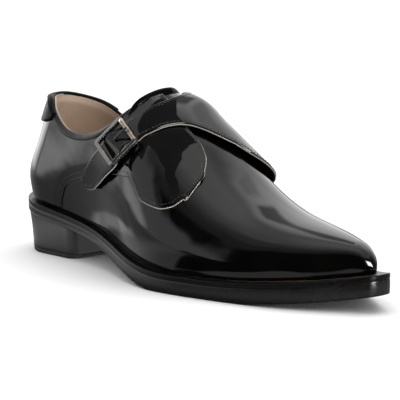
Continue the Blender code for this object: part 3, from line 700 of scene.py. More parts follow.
def leather_paint(name, light, dark, grain, deep=None):
    """Lining leather: mottled colour, pebble grain, a little sheen; deep is a darker colour towards the
    front, painted shade deep inside the shoe.
    """
    paint = Paint(name)
    colour = paint.ramp(paint.noise(55, 6, 0.6), [(0.32, dark), (0.68, light)])
    # Painted shade: the colour darkens towards the front, deep inside the shoe
    if deep:
        apart = paint.add("ShaderNodeSeparateXYZ")
        paint.join(paint.place, apart.inputs["Vector"])
        run = paint.add("ShaderNodeMapRange")
        paint.join(apart.outputs["X"], run.inputs["Value"])
        run.inputs["From Min"].default_value = SHADE_FROM
        run.inputs["From Max"].default_value = SHADE_TO
        blend = paint.add("ShaderNodeMix", data_type="RGBA", blend_type="MIX")
        paint.join(run.outputs["Result"], blend.inputs["Factor"])
        paint.join(colour, blend.inputs["A"])
        blend.inputs["B"].default_value = (*deep, 1)
        colour = blend.outputs["Result"]
    paint.join(colour, paint.shader.inputs["Base Color"])
    paint.spread("Roughness", paint.noise(160, 3), [(0.3, 0.5), (0.7, 0.7)])
    pebble = paint.bump(paint.cells(900), grain)
    paint.join(paint.bump(paint.noise(2600, 2), grain * 0.3, pebble), paint.shader.inputs["Normal"])
    paint.set(Specular_IOR_Level=0.35, Sheen_Weight=0.08, Sheen_Roughness=0.5)
    return paint.made


def edge_paint(name, colour, rough, lines=0.0, gloss=0.55):
    """Waxed and burnished edge: fine lines along the edge, rubbed spots."""
    paint = Paint(name)
    dark = tuple(c * 0.7 for c in colour)
    paint.spread("Base Color", paint.noise(90, 5, 0.6), [(0.3, dark), (0.7, colour)])
    paint.spread("Roughness", paint.noise(240, 4, 0.6), [(0.3, rough[0]), (0.75, rough[1])])
    drawn = paint.bump(paint.noise(260, 3, 0.5, stretch=(0.12, 0.12, 6.0)), 0.000012 + lines)
    paint.join(paint.bump(paint.noise(1500, 2), 0.000006, drawn), paint.shader.inputs["Normal"])
    paint.set(Specular_IOR_Level=gloss)
    return paint.made


def metal_paint(name, colour, rough):
    """Polished plated metal: fine brushing and dull patches."""
    paint = Paint(name)
    dull = tuple(c * 0.72 for c in colour)
    paint.spread("Base Color", paint.noise(300, 4), [(0.35, dull), (0.65, colour)])
    paint.spread("Roughness", paint.noise(700, 5, 0.65), [(0.35, rough[0]), (0.7, rough[1])])
    brushed = paint.bump(paint.noise(900, 3, 0.6, stretch=(1.0, 1.0, 7.0)), 0.000006)
    paint.join(brushed, paint.shader.inputs["Normal"])
    paint.set(Metallic=1.0)
    return paint.made


def thread_paint(name, colour):
    """Waxed thread, twisted."""
    paint = Paint(name)
    dark = tuple(c * 0.6 for c in colour)
    paint.spread("Base Color", paint.noise(1800, 3), [(0.35, dark), (0.65, colour)])
    paint.join(paint.bump(paint.noise(2600, 2), 0.00003), paint.shader.inputs["Normal"])
    paint.set(Roughness=0.45, Sheen_Weight=0.15, Specular_IOR_Level=0.5)
    return paint.made


PATENT_VAMP = patent_paint("patent_vamp")
PATENT_QUARTER = patent_paint("patent_quarter", 1.2)
PATENT_STRAP = patent_paint("patent_strap", 1.1)
# A duller copy of the patent for the tongue: its bright reflection turned down, painted shade
PATENT_TONGUE_SHADED = patent_paint("patent_tongue_shaded", 1.4, gloss=0.14)
# A duller copy of the patent for the strap's end by the buckle: painted shade
PATENT_TAIL_SHADED = patent_paint("patent_tail_shaded", 1.2, gloss=0.2)
# Near-black and nearly glossless, for the heel tab and the inner and back toplines: painted shade in place of
# their patent's and binding's reflections
PATENT_TAB_SHADED = edge_paint("patent_tab_shaded", (0.005, 0.005, 0.005), rough=(0.3, 0.42), gloss=0.03)
LINING_EDGE = leather_paint("lining_edge", (0.50, 0.46, 0.40), (0.32, 0.28, 0.235), grain=0.00001)
COLLAR_EDGE = leather_paint("collar_edge", (0.56, 0.44, 0.37), (0.46, 0.35, 0.28), grain=0.00001)
# Painted shade: the lining darkens to its deep colour towards the front of the inside
LINING_LEATHER = leather_paint("lining_leather", (0.80, 0.62, 0.48), (0.72, 0.54, 0.40), grain=0.00003,
                               deep=(0.24, 0.155, 0.10))
SOCK_LEATHER = leather_paint("sock_leather", (0.50, 0.35, 0.24), (0.42, 0.28, 0.19), grain=0.00003)
SOLE_EDGE = edge_paint("sole_edge", (0.0036, 0.0036, 0.0032), rough=(0.24, 0.36))
WELT_EDGE = edge_paint("welt_edge", (0.0012, 0.0012, 0.0011), rough=(0.26, 0.4), gloss=0.25)
HEEL_STACK = edge_paint("heel_stack", (0.012, 0.012, 0.011), rough=(0.28, 0.42), lines=0.00003, gloss=0.7)
HEEL_RUBBER = edge_paint("heel_rubber", (0.010, 0.010, 0.010), rough=(0.6, 0.8))
BUCKLE_METAL = metal_paint("buckle_metal", (0.33, 0.32, 0.30), rough=(0.22, 0.34))
# A lighter, beige copy of the buckle metal for the front bar: a painted reflection
BUCKLE_FRONT_LIT = metal_paint("buckle_front_lit", (0.70, 0.60, 0.47), rough=(0.22, 0.34))
# Near-black for the frame's groove, channels and walls: painted shade
BUCKLE_SHADE = edge_paint("buckle_shade", (0.006, 0.006, 0.006), rough=(0.16, 0.26))
# Dark binding of the outer topline; on the lining layers under the free edges the same dark colour is painted
# shade beneath the light edge bead
BINDING_AND_SHADE = edge_paint("binding_and_shade", (0.007, 0.007, 0.007), rough=(0.34, 0.48), gloss=0.3)
PRONG_METAL = metal_paint("prong_metal", (0.07, 0.07, 0.068), rough=(0.3, 0.42))
# Near-black discs in place of the holes: painted shade
HOLE_SHADE = edge_paint("hole_shade", (0.002, 0.002, 0.002), rough=(0.8, 0.9))
BLACK_THREAD = thread_paint("black_thread", (0.020, 0.019, 0.018))
TAN_THREAD = thread_paint("tan_thread", (0.40, 0.29, 0.20))


# --------------------------------------------------------------------- the upper
def calm(station):
    """How uneven the leather is: most at the sides and the bend of the foot, least at the toe."""
    return 0.22 + 0.78 * np.clip((225 * MM - station) / (70 * MM), 0, 1)


def make_vamp():
    """The vamp with its wings: the lasted skin of the whole shoe, under the quarters."""
    stations = station_of(np.linspace(0, 1, 250))[:, None]
    share = np.linspace(0, 1, 84)[None, :]
    along = stations + 0 * share
    grids = []
    for side in (-1, 1):
        across = side + (top_across(stations, side) - side) * share
        places = last_point(along, across)
        uneven = ripple(places, 3, 0.13 * MM, 24 * MM) + ripple(places, 5, 0.022 * MM, 10 * MM)
        uneven = (uneven + creases(stations, across, side)) * calm(stations) * np.sin(share * math.pi) ** 0.4
        grid = raised(along, across, uneven)
        foot = grid[:, :1].copy()
        foot[..., 2] -= PLUMB
        grids.append(np.concatenate([foot, grid], axis=1))
    skin("vamp", grids, VAMP_SKIN, PATENT_VAMP, ["upper"])


def make_lining():
    """The lining: down the inside from the topline, which it meets near the outside of the wall."""
    stations = station_of(np.linspace(0, turn_of(266 * MM), 170))[:, None]
    share = np.concatenate([np.linspace(0, 0.86, 46), np.linspace(0.86, 1, 26)[1:]])[None, :]
    closed = np.clip((stations - 100 * MM) / (THROAT - 100 * MM), 0, 1)
    rim = np.exp(-((1 - share) * GIRTH * MM / (5 * MM)) ** 2) * (1 - closed)
    depth = -WALL + (WALL - 0.5 * MM) * rim
    grids = []
    for side in (-1, 1):
        across = side * 0.985 + (top_across(stations, side) - side * 0.985) * share
        grids.append(raised(stations + 0 * share, across, depth))
    skin("lining", grids, LINING_SKIN, LINING_LEATHER)


def make_lateral_quarter():
    """The outer quarter, with a free rounded front edge that shows its lining."""
    low_at, front_at = column(LATERAL_SEAM, 1), column(LATERAL_FRONT, 1)
    start, tip = LATERAL_SEAM[0, 0], LATERAL_SEAM[-1, 0] - 0.6 * MM
    back = station_of(np.linspace(turn_of(BACK_SEAM), turn_of(start), 52))
    side = start + (THROAT - start) * np.linspace(0, 1, 84) ** 1.8
    front = THROAT + (tip - THROAT) * np.sin(np.linspace(0, 0.5, 70) * math.pi)
    stations = np.concatenate([back, side[1:], front[1:]])
    low = -np.where(stations < start, 1.0, np.minimum(low_at(stations), 1.0))
    high = np.where(stations < THROAT, np.minimum(top_across(stations, -1), -0.10), -front_at(stations))
    share = crowding(EDGE_LEAD, QUARTER_GIRTH * MM, 62)[None, :]
    along = stations[:, None] + 0 * share
    across = low[:, None] + (high - low)[:, None] * share
    free = np.clip((stations - 150 * MM) / (30 * MM), 0, 1)[:, None] * share
    pared = stations < THROAT + 14 * MM
    hug = 0.3 * MM * np.exp(-(share * QUARTER_GIRTH / 6) ** 2) * pared[:, None]
    places = last_point(along, across)
    uneven = ripple(places, 8, 0.10 * MM, 26 * MM) + ripple(places, 9, 0.020 * MM, 9 * MM)
    uneven = uneven * np.sin(share * math.pi) ** 0.3
    lift = GAP + 0.6 * MM * free - hug
    grid = raised(along, across, lift + uneven + 0.15 * MM)
    guide = last_normal(along, across)
    under = stations > 128 * MM
    below = raised(along[under], across[under], lift[under] - 0.25 * MM + uneven[under])
    patent = leather("lateral_quarter", [grid], LEATHER - 0.1 * MM, PATENT_QUARTER,
                     ["lateral_quarter"], skived=grid[pared & (stations > 48 * MM), 0])
    # The lining layer is painted dark: painted shade beneath the light edge bead
    leather("lateral_quarter_lining", [below], LINING, BINDING_AND_SHADE, blunt=1.0)
    brim = raised(along, across, lift + uneven + EDGE_RADIUS)

    def there_and_back(points, low_part, top_part):
        """Forward along the low edge and back along the top one."""
        return np.concatenate([points[low_part, 0], points[top_part, -1][::-1]])
    shown, over = stations >= 141 * MM, stations >= 121 * MM
    bead("lateral_quarter_edge", [(there_and_back(brim, shown, over), there_and_back(guide, shown, over))],
         EDGE_RADIUS, LINING_EDGE)
    seam, ahead = stations >= start, stations >= THROAT - 14 * MM
    collar = (stations > TAB_REACH - 2 * MM) & (stations < THROAT - 14 * MM)
    edge = there_and_back(grid, seam, ahead), there_and_back(guide, seam, ahead)
    return patent, edge, (grid[collar, -1], guide[collar, -1])


# The across value where the strap starts, from the inner quarter's topline
STRAP_START = float(top_across(np.array(JOIN), 1)) - 1e-6


def strap_grid(rows, width):
    """Stations and clearances of the strap: rows are across values, width runs from back to front edge."""
    edges = [column(STRAP, i)(rows) for i in (1, 2, 3, 4)]
    edges[0] = np.where(rows > STRAP_START, JOIN, edges[0])
    along = edges[0][:, None] + (edges[1] - edges[0])[:, None] * width
    lift = edges[2][:, None] + (edges[3] - edges[2])[:, None] * width ** 1.5
    lift += STRAP_KNEE * np.exp(-((along - KNEE_AT) / KNEE_RUN) ** 2 - ((rows[:, None] - 0.1) / 0.18) ** 2)
    return along, np.maximum(lift, GAP)


def make_quarter_strap():
    """The inner quarter and the strap, one piece, lined to its edges."""
    low_at = column(MEDIAL_SEAM, 1)
    start = MEDIAL_SEAM[0, 0]
    back = station_of(np.linspace(turn_of(BACK_SEAM), turn_of(start), 60))
    rest = start + (JOIN - start) * np.linspace(0, 1, 34) ** 1.8
    stations = np.concatenate([back, rest[1:]])
    low = np.where(stations < start, 1.0, np.minimum(low_at(stations), 1.0))
    high = top_across(stations, 1)
    share = crowding(EDGE_LEAD, QUARTER_GIRTH * MM, 56)[None, :]
    across = low[:, None] + (high - low)[:, None] * share
    behind = stations[:, None] + 0 * across
    guide_q = last_normal(behind, across)
    end = STRAP[-1, 0]
    over = np.linspace(across[-1, -1], end + 0.012, 230)[1:]
    tip = np.array([end + 0.012 * k for k in (0.7, 0.45, 0.25, 0.12, 0.04, 0)])
    rows = np.concatenate([across[-1], over, tip])
    width = crowding(EDGE_LEAD, 30 * MM, 44)[None, :]
    along, lift = strap_grid(rows, width)
    rows = rows[:, None] + 0 * width
    guide_s = last_normal(along, rows)
    uneven_q = ripple(last_point(behind, across), 21, 0.10 * MM, 26 * MM)
    uneven_s = ripple(last_point(along, rows), 21, 0.10 * MM, 26 * MM)
    hug = 0.45 * MM * np.exp(-(share * QUARTER_GIRTH / 6) ** 2)

    def grids(height):
        return [raised(behind, across, GAP + uneven_q - hug + height),
                raised(along, rows, lift + uneven_s + height)]
    quarter, strap = grids(0.55 * MM)
    patent = leather("quarter_strap", [quarter, strap], STRAP_LEATHER - 0.55 * MM, PATENT_STRAP,
                     ["quarter_strap"], skived=quarter[stations > start - 2 * MM, 0])
    # The strap's end, by and through the buckle, takes the duller copy of the patent: painted shade
    patent.data.materials.append(PATENT_TAIL_SHADED)
    for face in patent.data.polygons:
        if (face.center + Vector(CENTRE) - BUCKLE_AT).dot(BUCKLE_ALONG) < 9 * MM and face.center.y < -15 * MM:
            face.material_index = 1
    # The lining layer is painted dark: painted shade beneath the light edge bead
    leather("quarter_strap_lining", [grids(-0.1 * MM)[1][:-1]], LINING, BINDING_AND_SHADE, blunt=1.0)

    def round_the_strap(points, first):
        """Along the strap's back edge from a row on, round its tip, and back along the front edge."""
        return [points[first:, 0], points[-1], points[::-1, -1]]
    sides = across.shape[1]
    hem, hem_guide = (np.concatenate(round_the_strap(points, sides + 12))
                      for points in (grids(EDGE_RADIUS)[1], guide_s))
    bead("quarter_strap_edge", [(hem, hem_guide)], EDGE_RADIUS, LINING_EDGE)
    seam = stations >= start
    edge, normals = (np.concatenate(round_the_strap(top, sides) + [top[0, ::-1], side[seam, 0][::-1]])
                     for top, side in ((strap, quarter), (guide_s, guide_q)))
    collar = stations > TAB_REACH - 2 * MM
    return patent, (edge, normals), (quarter[collar, -1], guide_q[collar, -1])


def make_tongue():
    """The tongue, which shows behind the strap."""
    rows = np.linspace(TONGUE[0, 0], TONGUE[-1, 0], 90)
    back, front = column(TONGUE, 1)(rows), column(TONGUE, 2)(rows)
    share = crowding(EDGE_LEAD, 45 * MM, 48)[None, :]
    along = back[:, None] + (front - back)[:, None] * share
    rise = column(TONGUE, 3)(rows)[:, None]
    lean = rise * eased(np.clip((THROAT + 1.5 * MM - along) / (6.5 * MM), 0, 1))
    across = rows[:, None] + 0 * share
    grid = raised(along, across, lean - (WALL + 3 * GAP + LEATHER) + 0.4 * MM)
    leather("tongue", [grid], LEATHER - 0.4 * MM, PATENT_TONGUE_SHADED, ["tongue"])
    leather("tongue_lining", [grid - last_normal(along, across) * 0.5 * MM], 0.6 * MM, LINING_LEATHER,
            blunt=1.0)


def make_heel_tab():
    """The tab over the back seam at the collar."""
    turns = np.linspace(-1, 1, 121) * turn_of(TAB_REACH)
    columns, guides = [], []
    for turn in turns:
        side = -1 if turn < 0 else 1
        station = station_of(abs(turn))
        top = TOPLINE_AT[side](station)
        edge = math.sqrt(max(0.0, 1 - (station / TAB_REACH) ** 4))
        low = top - 1.0 * MM - (top - 1.0 * MM - TAB_LOW_BACK) * edge
        heights = low + (top - low) * crowding(EDGE_LEAD, 14 * MM, 14)
        stations = np.full(len(heights), station)
        across = across_of(stations, heights, side)
        columns.append(raised(stations, across, 2 * GAP + STRAP_LEATHER))
        guides.append(last_normal(stations, across))
    grid, guide = np.array(columns), np.array(guides)
    tab = leather("heel_tab", [grid], LEATHER, PATENT_TAB_SHADED, ["heel_tab"])
    return tab, (grid[:, 0], guide[:, 0])


def make_topline(name, side, first, last, outside, paint, band=3.2 * MM, inner=()):
    """The bound edge of the collar: a band outside, over the rim, and down the lining by the inner rows."""
    stations = station_of(np.linspace(turn_of(first), turn_of(last), 130))
    heights = TOPLINE_AT[side](np.minimum(stations, THROAT))
    half = (outside + 0.6 * MM) / 2
    middle = (outside - 0.6 * MM) / 2
    profile = [(-band, 0.05 * MM), (-band + 0.06 * MM, 0.3 * MM), (-band + 0.3 * MM, 0.42 * MM),
               (-band / 2, 0.46 * MM), (-1.0 * MM, 0.36 * MM)]
    profile = [(height, outside + clear) for height, clear in profile]
    for turn in np.linspace(0.02, 1.15, 15) * math.pi:
        profile.append((ROLL * 1.6 * max(-0.4, math.sin(turn)) - 0.6 * MM, middle + half * math.cos(turn)))
    profile += [(height * MM, clear * MM) for height, clear in inner]
    grid = np.array([raised(stations, across_of(stations, heights + rise, side), clear)
                     for rise, clear in profile])
    made = solid(name, grid.reshape(-1, 3), grid_faces(*grid.shape[:2]), paint, sharp=80)
    walled(made, 0.35 * MM, 0)


def rim_line(side, last_station, rise, clear):
    """A line that follows the collar's rim, with its guide normals."""
    stations = station_of(np.linspace(0.002, turn_of(last_station), 150))
    across = across_of(stations, TOPLINE_AT[side](stations) + rise, side)
    return raised(stations, across, clear), last_normal(stations, across)


# --------------------------------------------------------------------- the bottom
def around(inset, height):
    """A closed line round the sole: inset inside its edge, at a height read from its x."""
    turns = np.linspace(0, 1, SOLE_POINTS)
    loop = []
    for side, order in ((-1, turns), (1, turns[::-1][1:-1])):
        stations = station_of(order)
        x, y = inset_edge(stations, side, inset(stations) if callable(inset) else inset + 0 * stations)
        loop.append(np.stack([x, y, height(x)], -1))
    return np.concatenate(loop) - CENTRE


def sole_piece(name, loops, paint, node):
    """A piece of the sole from closed lines, its first and last line closed by strips across."""
    count = len(loops[0])
    faces = bands(len(loops), count) + strips(0, count) + strips((len(loops) - 1) * count, count)
    solid(name, np.concatenate(loops), faces, paint, [node], sharp=50)


def make_outsole():
    """The outsole, with rounded edges, closed underneath and on top by strips across."""
    def between(share, drop=0.0):
        return lambda x: sole_bottom(x) + (TOPSIDE(x) - WELT_THICK - sole_bottom(x)) * share + drop
    profile = [(3.0 * MM, 0, 0.0), (1.2 * MM, 0, 0.0), (0.6 * MM, 0, 0.12 * MM), (0.25 * MM, 0, 0.5 * MM),
               (0.1 * MM, 0, 1.1 * MM), (0.05 * MM, 0.5, 0.0), (0.08 * MM, 1, -0.8 * MM),
               (0.16 * MM, 1, -0.3 * MM), (0.3 * MM, 1, -0.05 * MM), (3.0 * MM, 1, 0.0)]
    sole_piece("outsole", [around(inset, between(share, drop)) for inset, share, drop in profile],
               SOLE_EDGE, "outsole")


def make_welt():
    """The welt, with a thin raised bead at its upper edge and a flat top up to the feather line."""
    loops = []
    for inset, drop in ((0.3, -2.98), (0.1, -2.8), (0.02, -2.4), (0.05, -1.1), (0.10, -0.75), (0.0, -0.5),
                        (0.02, -0.22), (0.2, -0.02), (0.55, 0.05), (1.1, 0.0), (1.6, -0.15)):
        loops.append(around(inset * MM, lambda x, d=drop: TOPSIDE(x) + d * MM))
    for extra, drop in ((-1.6, -0.25), (0.9, -0.25), (2.4, -0.25), (2.4, -2.98)):
        loops.append(around(lambda s, e=extra: np.maximum(MARGIN_AT(s) + e * MM, 1.7 * MM),
                            lambda x, d=drop: TOPSIDE(x) + d * MM))
    faces = bands(len(loops), len(loops[0]), close=True)
    solid("welt", np.concatenate(loops), faces, WELT_EDGE, ["welt"], sharp=55)


def heel_loop(inset, height):
    """A closed line round the heel: round at the back, soft corners at the breast."""
    stations = inset + (HEEL_BREAST - 2 * inset) * (1 - np.cos(math.pi * np.linspace(0, 1, HEEL_POINTS))) / 2
    corner = np.clip(1 - (HEEL_BREAST - inset - stations) / HEEL_CORNER, 0, 1)
    trim = HEEL_CORNER * (1 - np.sqrt(1 - corner ** 2))
    lateral, medial = (edge_at(stations, side, inset) for side in (-1, 1))
    one = np.stack([stations, lateral + trim, height(stations)], -1)
    two = np.stack([stations, medial - trim, height(stations)], -1)
    front = np.linspace(one[-1], two[-1], 14)[1:-1]
    return np.concatenate([one, front, two[::-1][:-1]]) - CENTRE


def make_heel():
    """The stacked heel, waxed black, its sides a little hollow, and the rubber top lift."""
    joint = HEEL_TAPER + (HEEL_SEAT - HEEL_TAPER) * LIFT_THICK / float(sole_bottom(0.0))
    loops = []
    for share in (0, 0.012, 0.03, 0.1, 0.2, 0.3, 0.4, 0.5, 0.6, 0.7, 0.8, 0.9, 0.97, 0.99, 1):
        hollow = 0.35 * MM * math.sin(math.pi * share)
        ends = 0.25 * MM * max(0.0, 1 - min(share, 1 - share) / 0.03) ** 2
        inset = HEEL_SEAT + (joint - HEEL_SEAT) * share + hollow + ends
        loops.append(heel_loop(inset, lambda x, s=share: sole_bottom(x) * (1 - s) + LIFT_THICK * s))
    solid("heel_block", np.concatenate(loops), tube(len(loops), len(loops[0])), HEEL_STACK,
          ["heel_block"], sharp=50)
    loops = []
    for inset, height in ((0.5, 2.58), (0.2, 2.5), (0.05, 2.3), (0.0, 1.6), (0.05, 0.6), (0.25, 0.15),
                          (0.6, 0.0)):
        drop = (LIFT_THICK / MM - height) / (LIFT_THICK / MM)
        at = joint + (HEEL_TAPER - joint) * drop + inset * MM
        loops.append(heel_loop(at, lambda x, h=height: 0 * x + h * MM))
    solid("heel_top_lift", np.concatenate(loops), tube(len(loops), len(loops[0])), HEEL_RUBBER,
          ["heel_top_lift"], sharp=50)


def make_sock():
    """The sock lining over the insole, turned up a little at its edge."""
    profile = [(0.9, 0.3 * MM - INSOLE_THICK), (0.7, -0.6 * MM), (0.9, 0.0), (2.2, 0.15 * MM),
               (5, -0.5 * MM), (9, -0.9 * MM)]
    loops = [around(lambda s, e=extra: MARGIN_AT(s) + WALL + e * MM,
                    lambda x, r=rise: TOPSIDE(x) - WELT_THICK + INSOLE_THICK + r) for extra, rise in profile]
    sole_piece("sock", loops, SOCK_LEATHER, "insole")


# --------------------------------------------------------------------- the buckle
def buckle_axes():
    """Buckle axes: x along the strap to its front bar, y across it, z out of the shoe."""
    along = (BUCKLE_ALONG - BUCKLE_OUT * BUCKLE_ALONG.dot(BUCKLE_OUT)).normalized()
    across = BUCKLE_OUT.cross(along)
    turn = Matrix((along, across, BUCKLE_OUT)).transposed().to_4x4()
    return Matrix.Translation(BUCKLE_AT - Vector(CENTRE)) @ turn


def rounded_loop(length, width, radius):
    """Points round a rectangle with round corners."""
    points = []
    for cx, cy, start in ((1, 1, 0), (-1, 1, 90), (-1, -1, 180), (1, -1, 270)):
        for k in range(CORNER_POINTS):
            angle = (start + 90 * k / (CORNER_POINTS - 1)) * DEGREE
            points.append((cx * (length / 2 - radius) + radius * math.cos(angle),
                           cy * (width / 2 - radius) + radius * math.sin(angle)))
    return np.array(points)


def make_frame(axes):
    """The frame, with a fine groove along two of its bars, and its centre bar; near-black painted shade in
    the groove, the channels and on the walls, and a painted reflection on the front bar.
    """
    outer = rounded_loop(BUCKLE_LENGTH, BUCKLE_WIDTH, 2.2 * MM)
    inner = rounded_loop(BUCKLE_LENGTH - 2 * BAR, BUCKLE_WIDTH - 2 * BAR, 0.7 * MM)
    count = len(outer)
    grooved = np.array([place == 0 or place >= LOWER_BAR for place in range(count)])
    points = []
    for share, height, _ in FRAME_SECTION:
        ring = inner + (outer - inner) * share
        domed = 2.42 + 0.2 * (1 - (2 * share - 1) ** 2) if 0.13 < share < 0.87 and height > 1 else height
        heights = np.where(grooved, height, domed) * MM
        points += [axes @ Vector((x, y, z)) for (x, y), z in zip(ring, heights)]
    faces = bands(len(FRAME_SECTION), count, close=True) + tube(2, 20, len(points))
    for y in (-1, 1):
        for k in range(20):
            angle = k * 18 * DEGREE
            points.append(axes @ Vector((PIN_RADIUS * math.cos(angle), y * (BUCKLE_WIDTH - BAR) / 2,
                                         PIN_DEPTH + PIN_RADIUS * math.sin(angle))))
    made = solid("buckle_frame", points, faces, BUCKLE_METAL, ["buckle_frame"], sharp=28)
    made.data.materials.append(BUCKLE_SHADE)
    made.data.materials.append(BUCKLE_FRONT_LIT)
    # Painted shade in the groove, the lower bar's channels and on the walls; the front bar gets the lighter
    # copy of the metal, a painted reflection
    for band, (_, _, part) in enumerate(FRAME_SECTION):
        for place in range(count):
            face = made.data.polygons[band * count + place]
            if place == count - 1:
                face.material_index = 1 if part == GROOVE else 2
            elif place >= LOWER_BAR:
                face.material_index = min(part, 1)
            elif band not in FACE_BANDS:
                face.material_index = 1


def make_prong(axes):
    """The prong: from under the centre bar up over it, and forward to the front bar."""
    over = (FRAME_THICK + GAP + PIN_RADIUS) / MM
    front = BUCKLE_LENGTH / 2 / MM
    # x, z and half size of each section, in mm
    path = [(-0.2, PIN_DEPTH / MM + 1.9, 0.85), (-0.1, 1.6, 0.85), (0.3, 2.7, 0.85), (1.2, over - 0.1, 0.85),
            (2.6, over, 0.82), (front - 4.0, over, 0.80), (front - 2.2, over - 0.02, 0.78),
            (front - 1.0, over - 0.12, 0.72), (front - 0.4, over - 0.3, 0.6)]
    section = np.array([(math.cos(a), math.sin(a)) for a in np.linspace(0, 2 * math.pi, 17)[:-1]])
    section = np.sign(section) * np.abs(section) ** 0.65
    points = []
    for i, (x, z, size) in enumerate(path):
        before, after = path[max(0, i - 1)], path[min(len(path) - 1, i + 1)]
        way = np.array([after[0] - before[0], after[1] - before[1]])
        way /= np.linalg.norm(way)
        for side, up in section:
            points.append(axes @ (Vector((x - way[1] * up * size * 0.75, side * size * 1.05,
                                          z + way[0] * up * size * 0.75)) * MM))
    solid("buckle_prong", points, tube(len(path), len(section)), PRONG_METAL,
          ["buckle_prong"], sharp=35)


def make_holes(surface):
    """The strap's punched holes, as closed discs with a pressed rim along the middle of the strap; their dark
    inside is painted shade.
    """
    rows = np.array(HOLES)
    along, lift = strap_grid(rows, np.array([[0.5]]))
    points, faces = [], []
    for place in raised(along[:, 0], rows, lift[:, 0] + 3 * MM):
        hit = surface.find_nearest(Vector(place))
        up = hit[1].normalized()
        side = up.orthogonal().normalized()
        ahead = up.cross(side)
        faces += tube(4, 18, len(points))
        for radius, height in ((0.95, -0.30), (0.95, 0.02), (0.72, 0.06), (0.58, -0.02)):
            for k in range(18):
                turn = k * 20 * DEGREE
                ring = side * math.cos(turn) + ahead * math.sin(turn)
                points.append(hit[0] + ring * radius * MM + up * height * MM)
    solid("strap_holes", points, faces, HOLE_SHADE, sharp=50)


# ----------------------------------------------------------------- put it together
make_vamp()
make_lining()
quarter, quarter_edge, quarter_collar = make_lateral_quarter()
strap, strap_edge, strap_collar = make_quarter_strap()
make_tongue()
tab, tab_edge = make_heel_tab()
tab_clear = 2 * GAP + STRAP_LEATHER + LEATHER
make_topline("topline_lateral", -1, TAB_REACH - 1 * MM, 116.5 * MM, GAP + LEATHER + 0.1 * MM, BINDING_AND_SHADE)
make_topline("topline_medial", 1, TAB_REACH - 1 * MM, JOIN + 1 * MM, GAP + STRAP_LEATHER + 0.1 * MM,
             PATENT_TAB_SHADED, inner=FOLD_DOWN)
make_topline("topline_tab_lateral", -1, 0.0, TAB_REACH, tab_clear, PATENT_TAB_SHADED, 1.2 * MM)
make_topline("topline_tab_medial", 1, 0.0, TAB_REACH, tab_clear, PATENT_TAB_SHADED, 1.2 * MM, inner=FOLD_DOWN)
bead("topline_bead", [rim_line(-1, 116 * MM, 0.3 * MM, -0.8 * MM),
                      rim_line(1, 112 * MM, -5.4 * MM, -1.58 * MM)], 0.42 * MM, COLLAR_EDGE)
lining_rows = []
for side, end, rise, clear in ((-1, 100 * MM, -3.4, -1.15), (1, 96 * MM, -3.4 - 3.8, -1.15 - 0.72)):
    line, out = rim_line(side, end, rise * MM, clear * MM)
    lining_rows.append((line, -out))
stitches("thread_lining", None, lining_rows, TAN_THREAD)
make_outsole()
make_welt()
make_heel()
make_sock()
make_frame(buckle_axes())
make_prong(buckle_axes())
sewn("thread_lateral", quarter, (quarter_edge, ROW_INSET), (quarter_collar, COLLAR_INSET))
make_holes(surface_of(strap))
sewn("thread_strap", strap, (strap_edge, ROW_INSET), (strap_collar, COLLAR_INSET))
sewn("thread_tab", tab, (tab_edge, TAB_INSET))


# ------------------------------------------------------------------------ stage
def make_floor():
    """A plain pale floor."""
    mesh = bpy.data.meshes.new("floor")
    mesh.from_pydata([(-9, -9, 0), (9, -9, 0), (9, 9, 0), (-9, 9, 0)], [], [(0, 1, 2, 3)])
    paint = Paint("floor_white")
    paint.set(Base_Color=(0.93, 0.93, 0.93, 1), Roughness=0.9, Specular_IOR_Level=0.0)
    mesh.materials.append(paint.made)
    placed("floor", mesh)


WORLD_LEVEL = 0.92
OVERHEAD_PLACE = (-0.3, 0.5, 2.0)
OVERHEAD_SIZE = (2.4, 1.8)
OVERHEAD_ENERGY = 26
CAMERA_PLACE = (945.4, -856.6, 265.7)  # mm
CAMERA_AIM = (3.0, 4.0, 47.0)  # mm
CAMERA_ROLL = -0.2  # degrees
CAMERA_LENS = 192.0

# The light tent, seen only in reflections: a panel or flag spans two azimuths and two elevations
# in degrees, softened by two spreads, and is set to a level (1 is the white of the floor)
TENT_RADIUS = 3.0
TENT_LEVEL = 0.70
DARK_LEVEL = 0.012
CARD_LIFT = 0.3 * MM
# Where the dark floor starts in front of the shoe: x, y
DARK_FLOOR = np.array([
    (8, -70), (30, -75), (45, -88), (70, -97), (90, -112), (110, -104), (130, -77), (150, -60),
    (175, -45), (230, -20)]) * MM
FLAG_HEIGHT = 160 * MM
SHADE_FLAG_LEVEL = 0.12
# Corners of the small flag, a dark sheet that only gloss sees: a painted dark reflection, with painted shade
# beside the strap's edge; x, y
FLAG = np.array([
    (-48, 34), (-20, 8), (20, 12), (21, -30), (22, -80), (21, -134), (9, -134), (0, -84), (-22, -75),
    (-42, -72), (-50, -92), (-66, -112), (-76, -120), (-84, -114), (-76, -90), (-66, -70), (-52, -20)]) * MM
TENT = [
    # azimuths     elevations   spreads     level
    (-180, 180, 73, 95, 400, 14, 1.1),
    (86, 150, 2, 69, 28, 12, 1.7),
    (94, 112, 50, 64, 7, 6, 1.2),
    (122, 140, 46, 62, 6, 6, 0.5),
    (158, 194, -3, 40, 12, 6, 2.2),
    (-157, -136, -10, 9, 12, 8, 1.9),
    (-198, -149, -24, -7, 16, 8, 0.36),
    (-124, -38, 46, 62, 6, 14, 0.32),
    (-112, -38, 22, 52, 7, 12, 0.17),
    (-105, -42, -24, 40, 2.5, 9, DARK_LEVEL),
    (-42, 62, -20, 50, 14, 8, 0.15),
    (62, 128, -20, 8, 8, 6, 0.15),
    (-34, -8, -2, 28, 1.2, 1.2, 22.0),
]


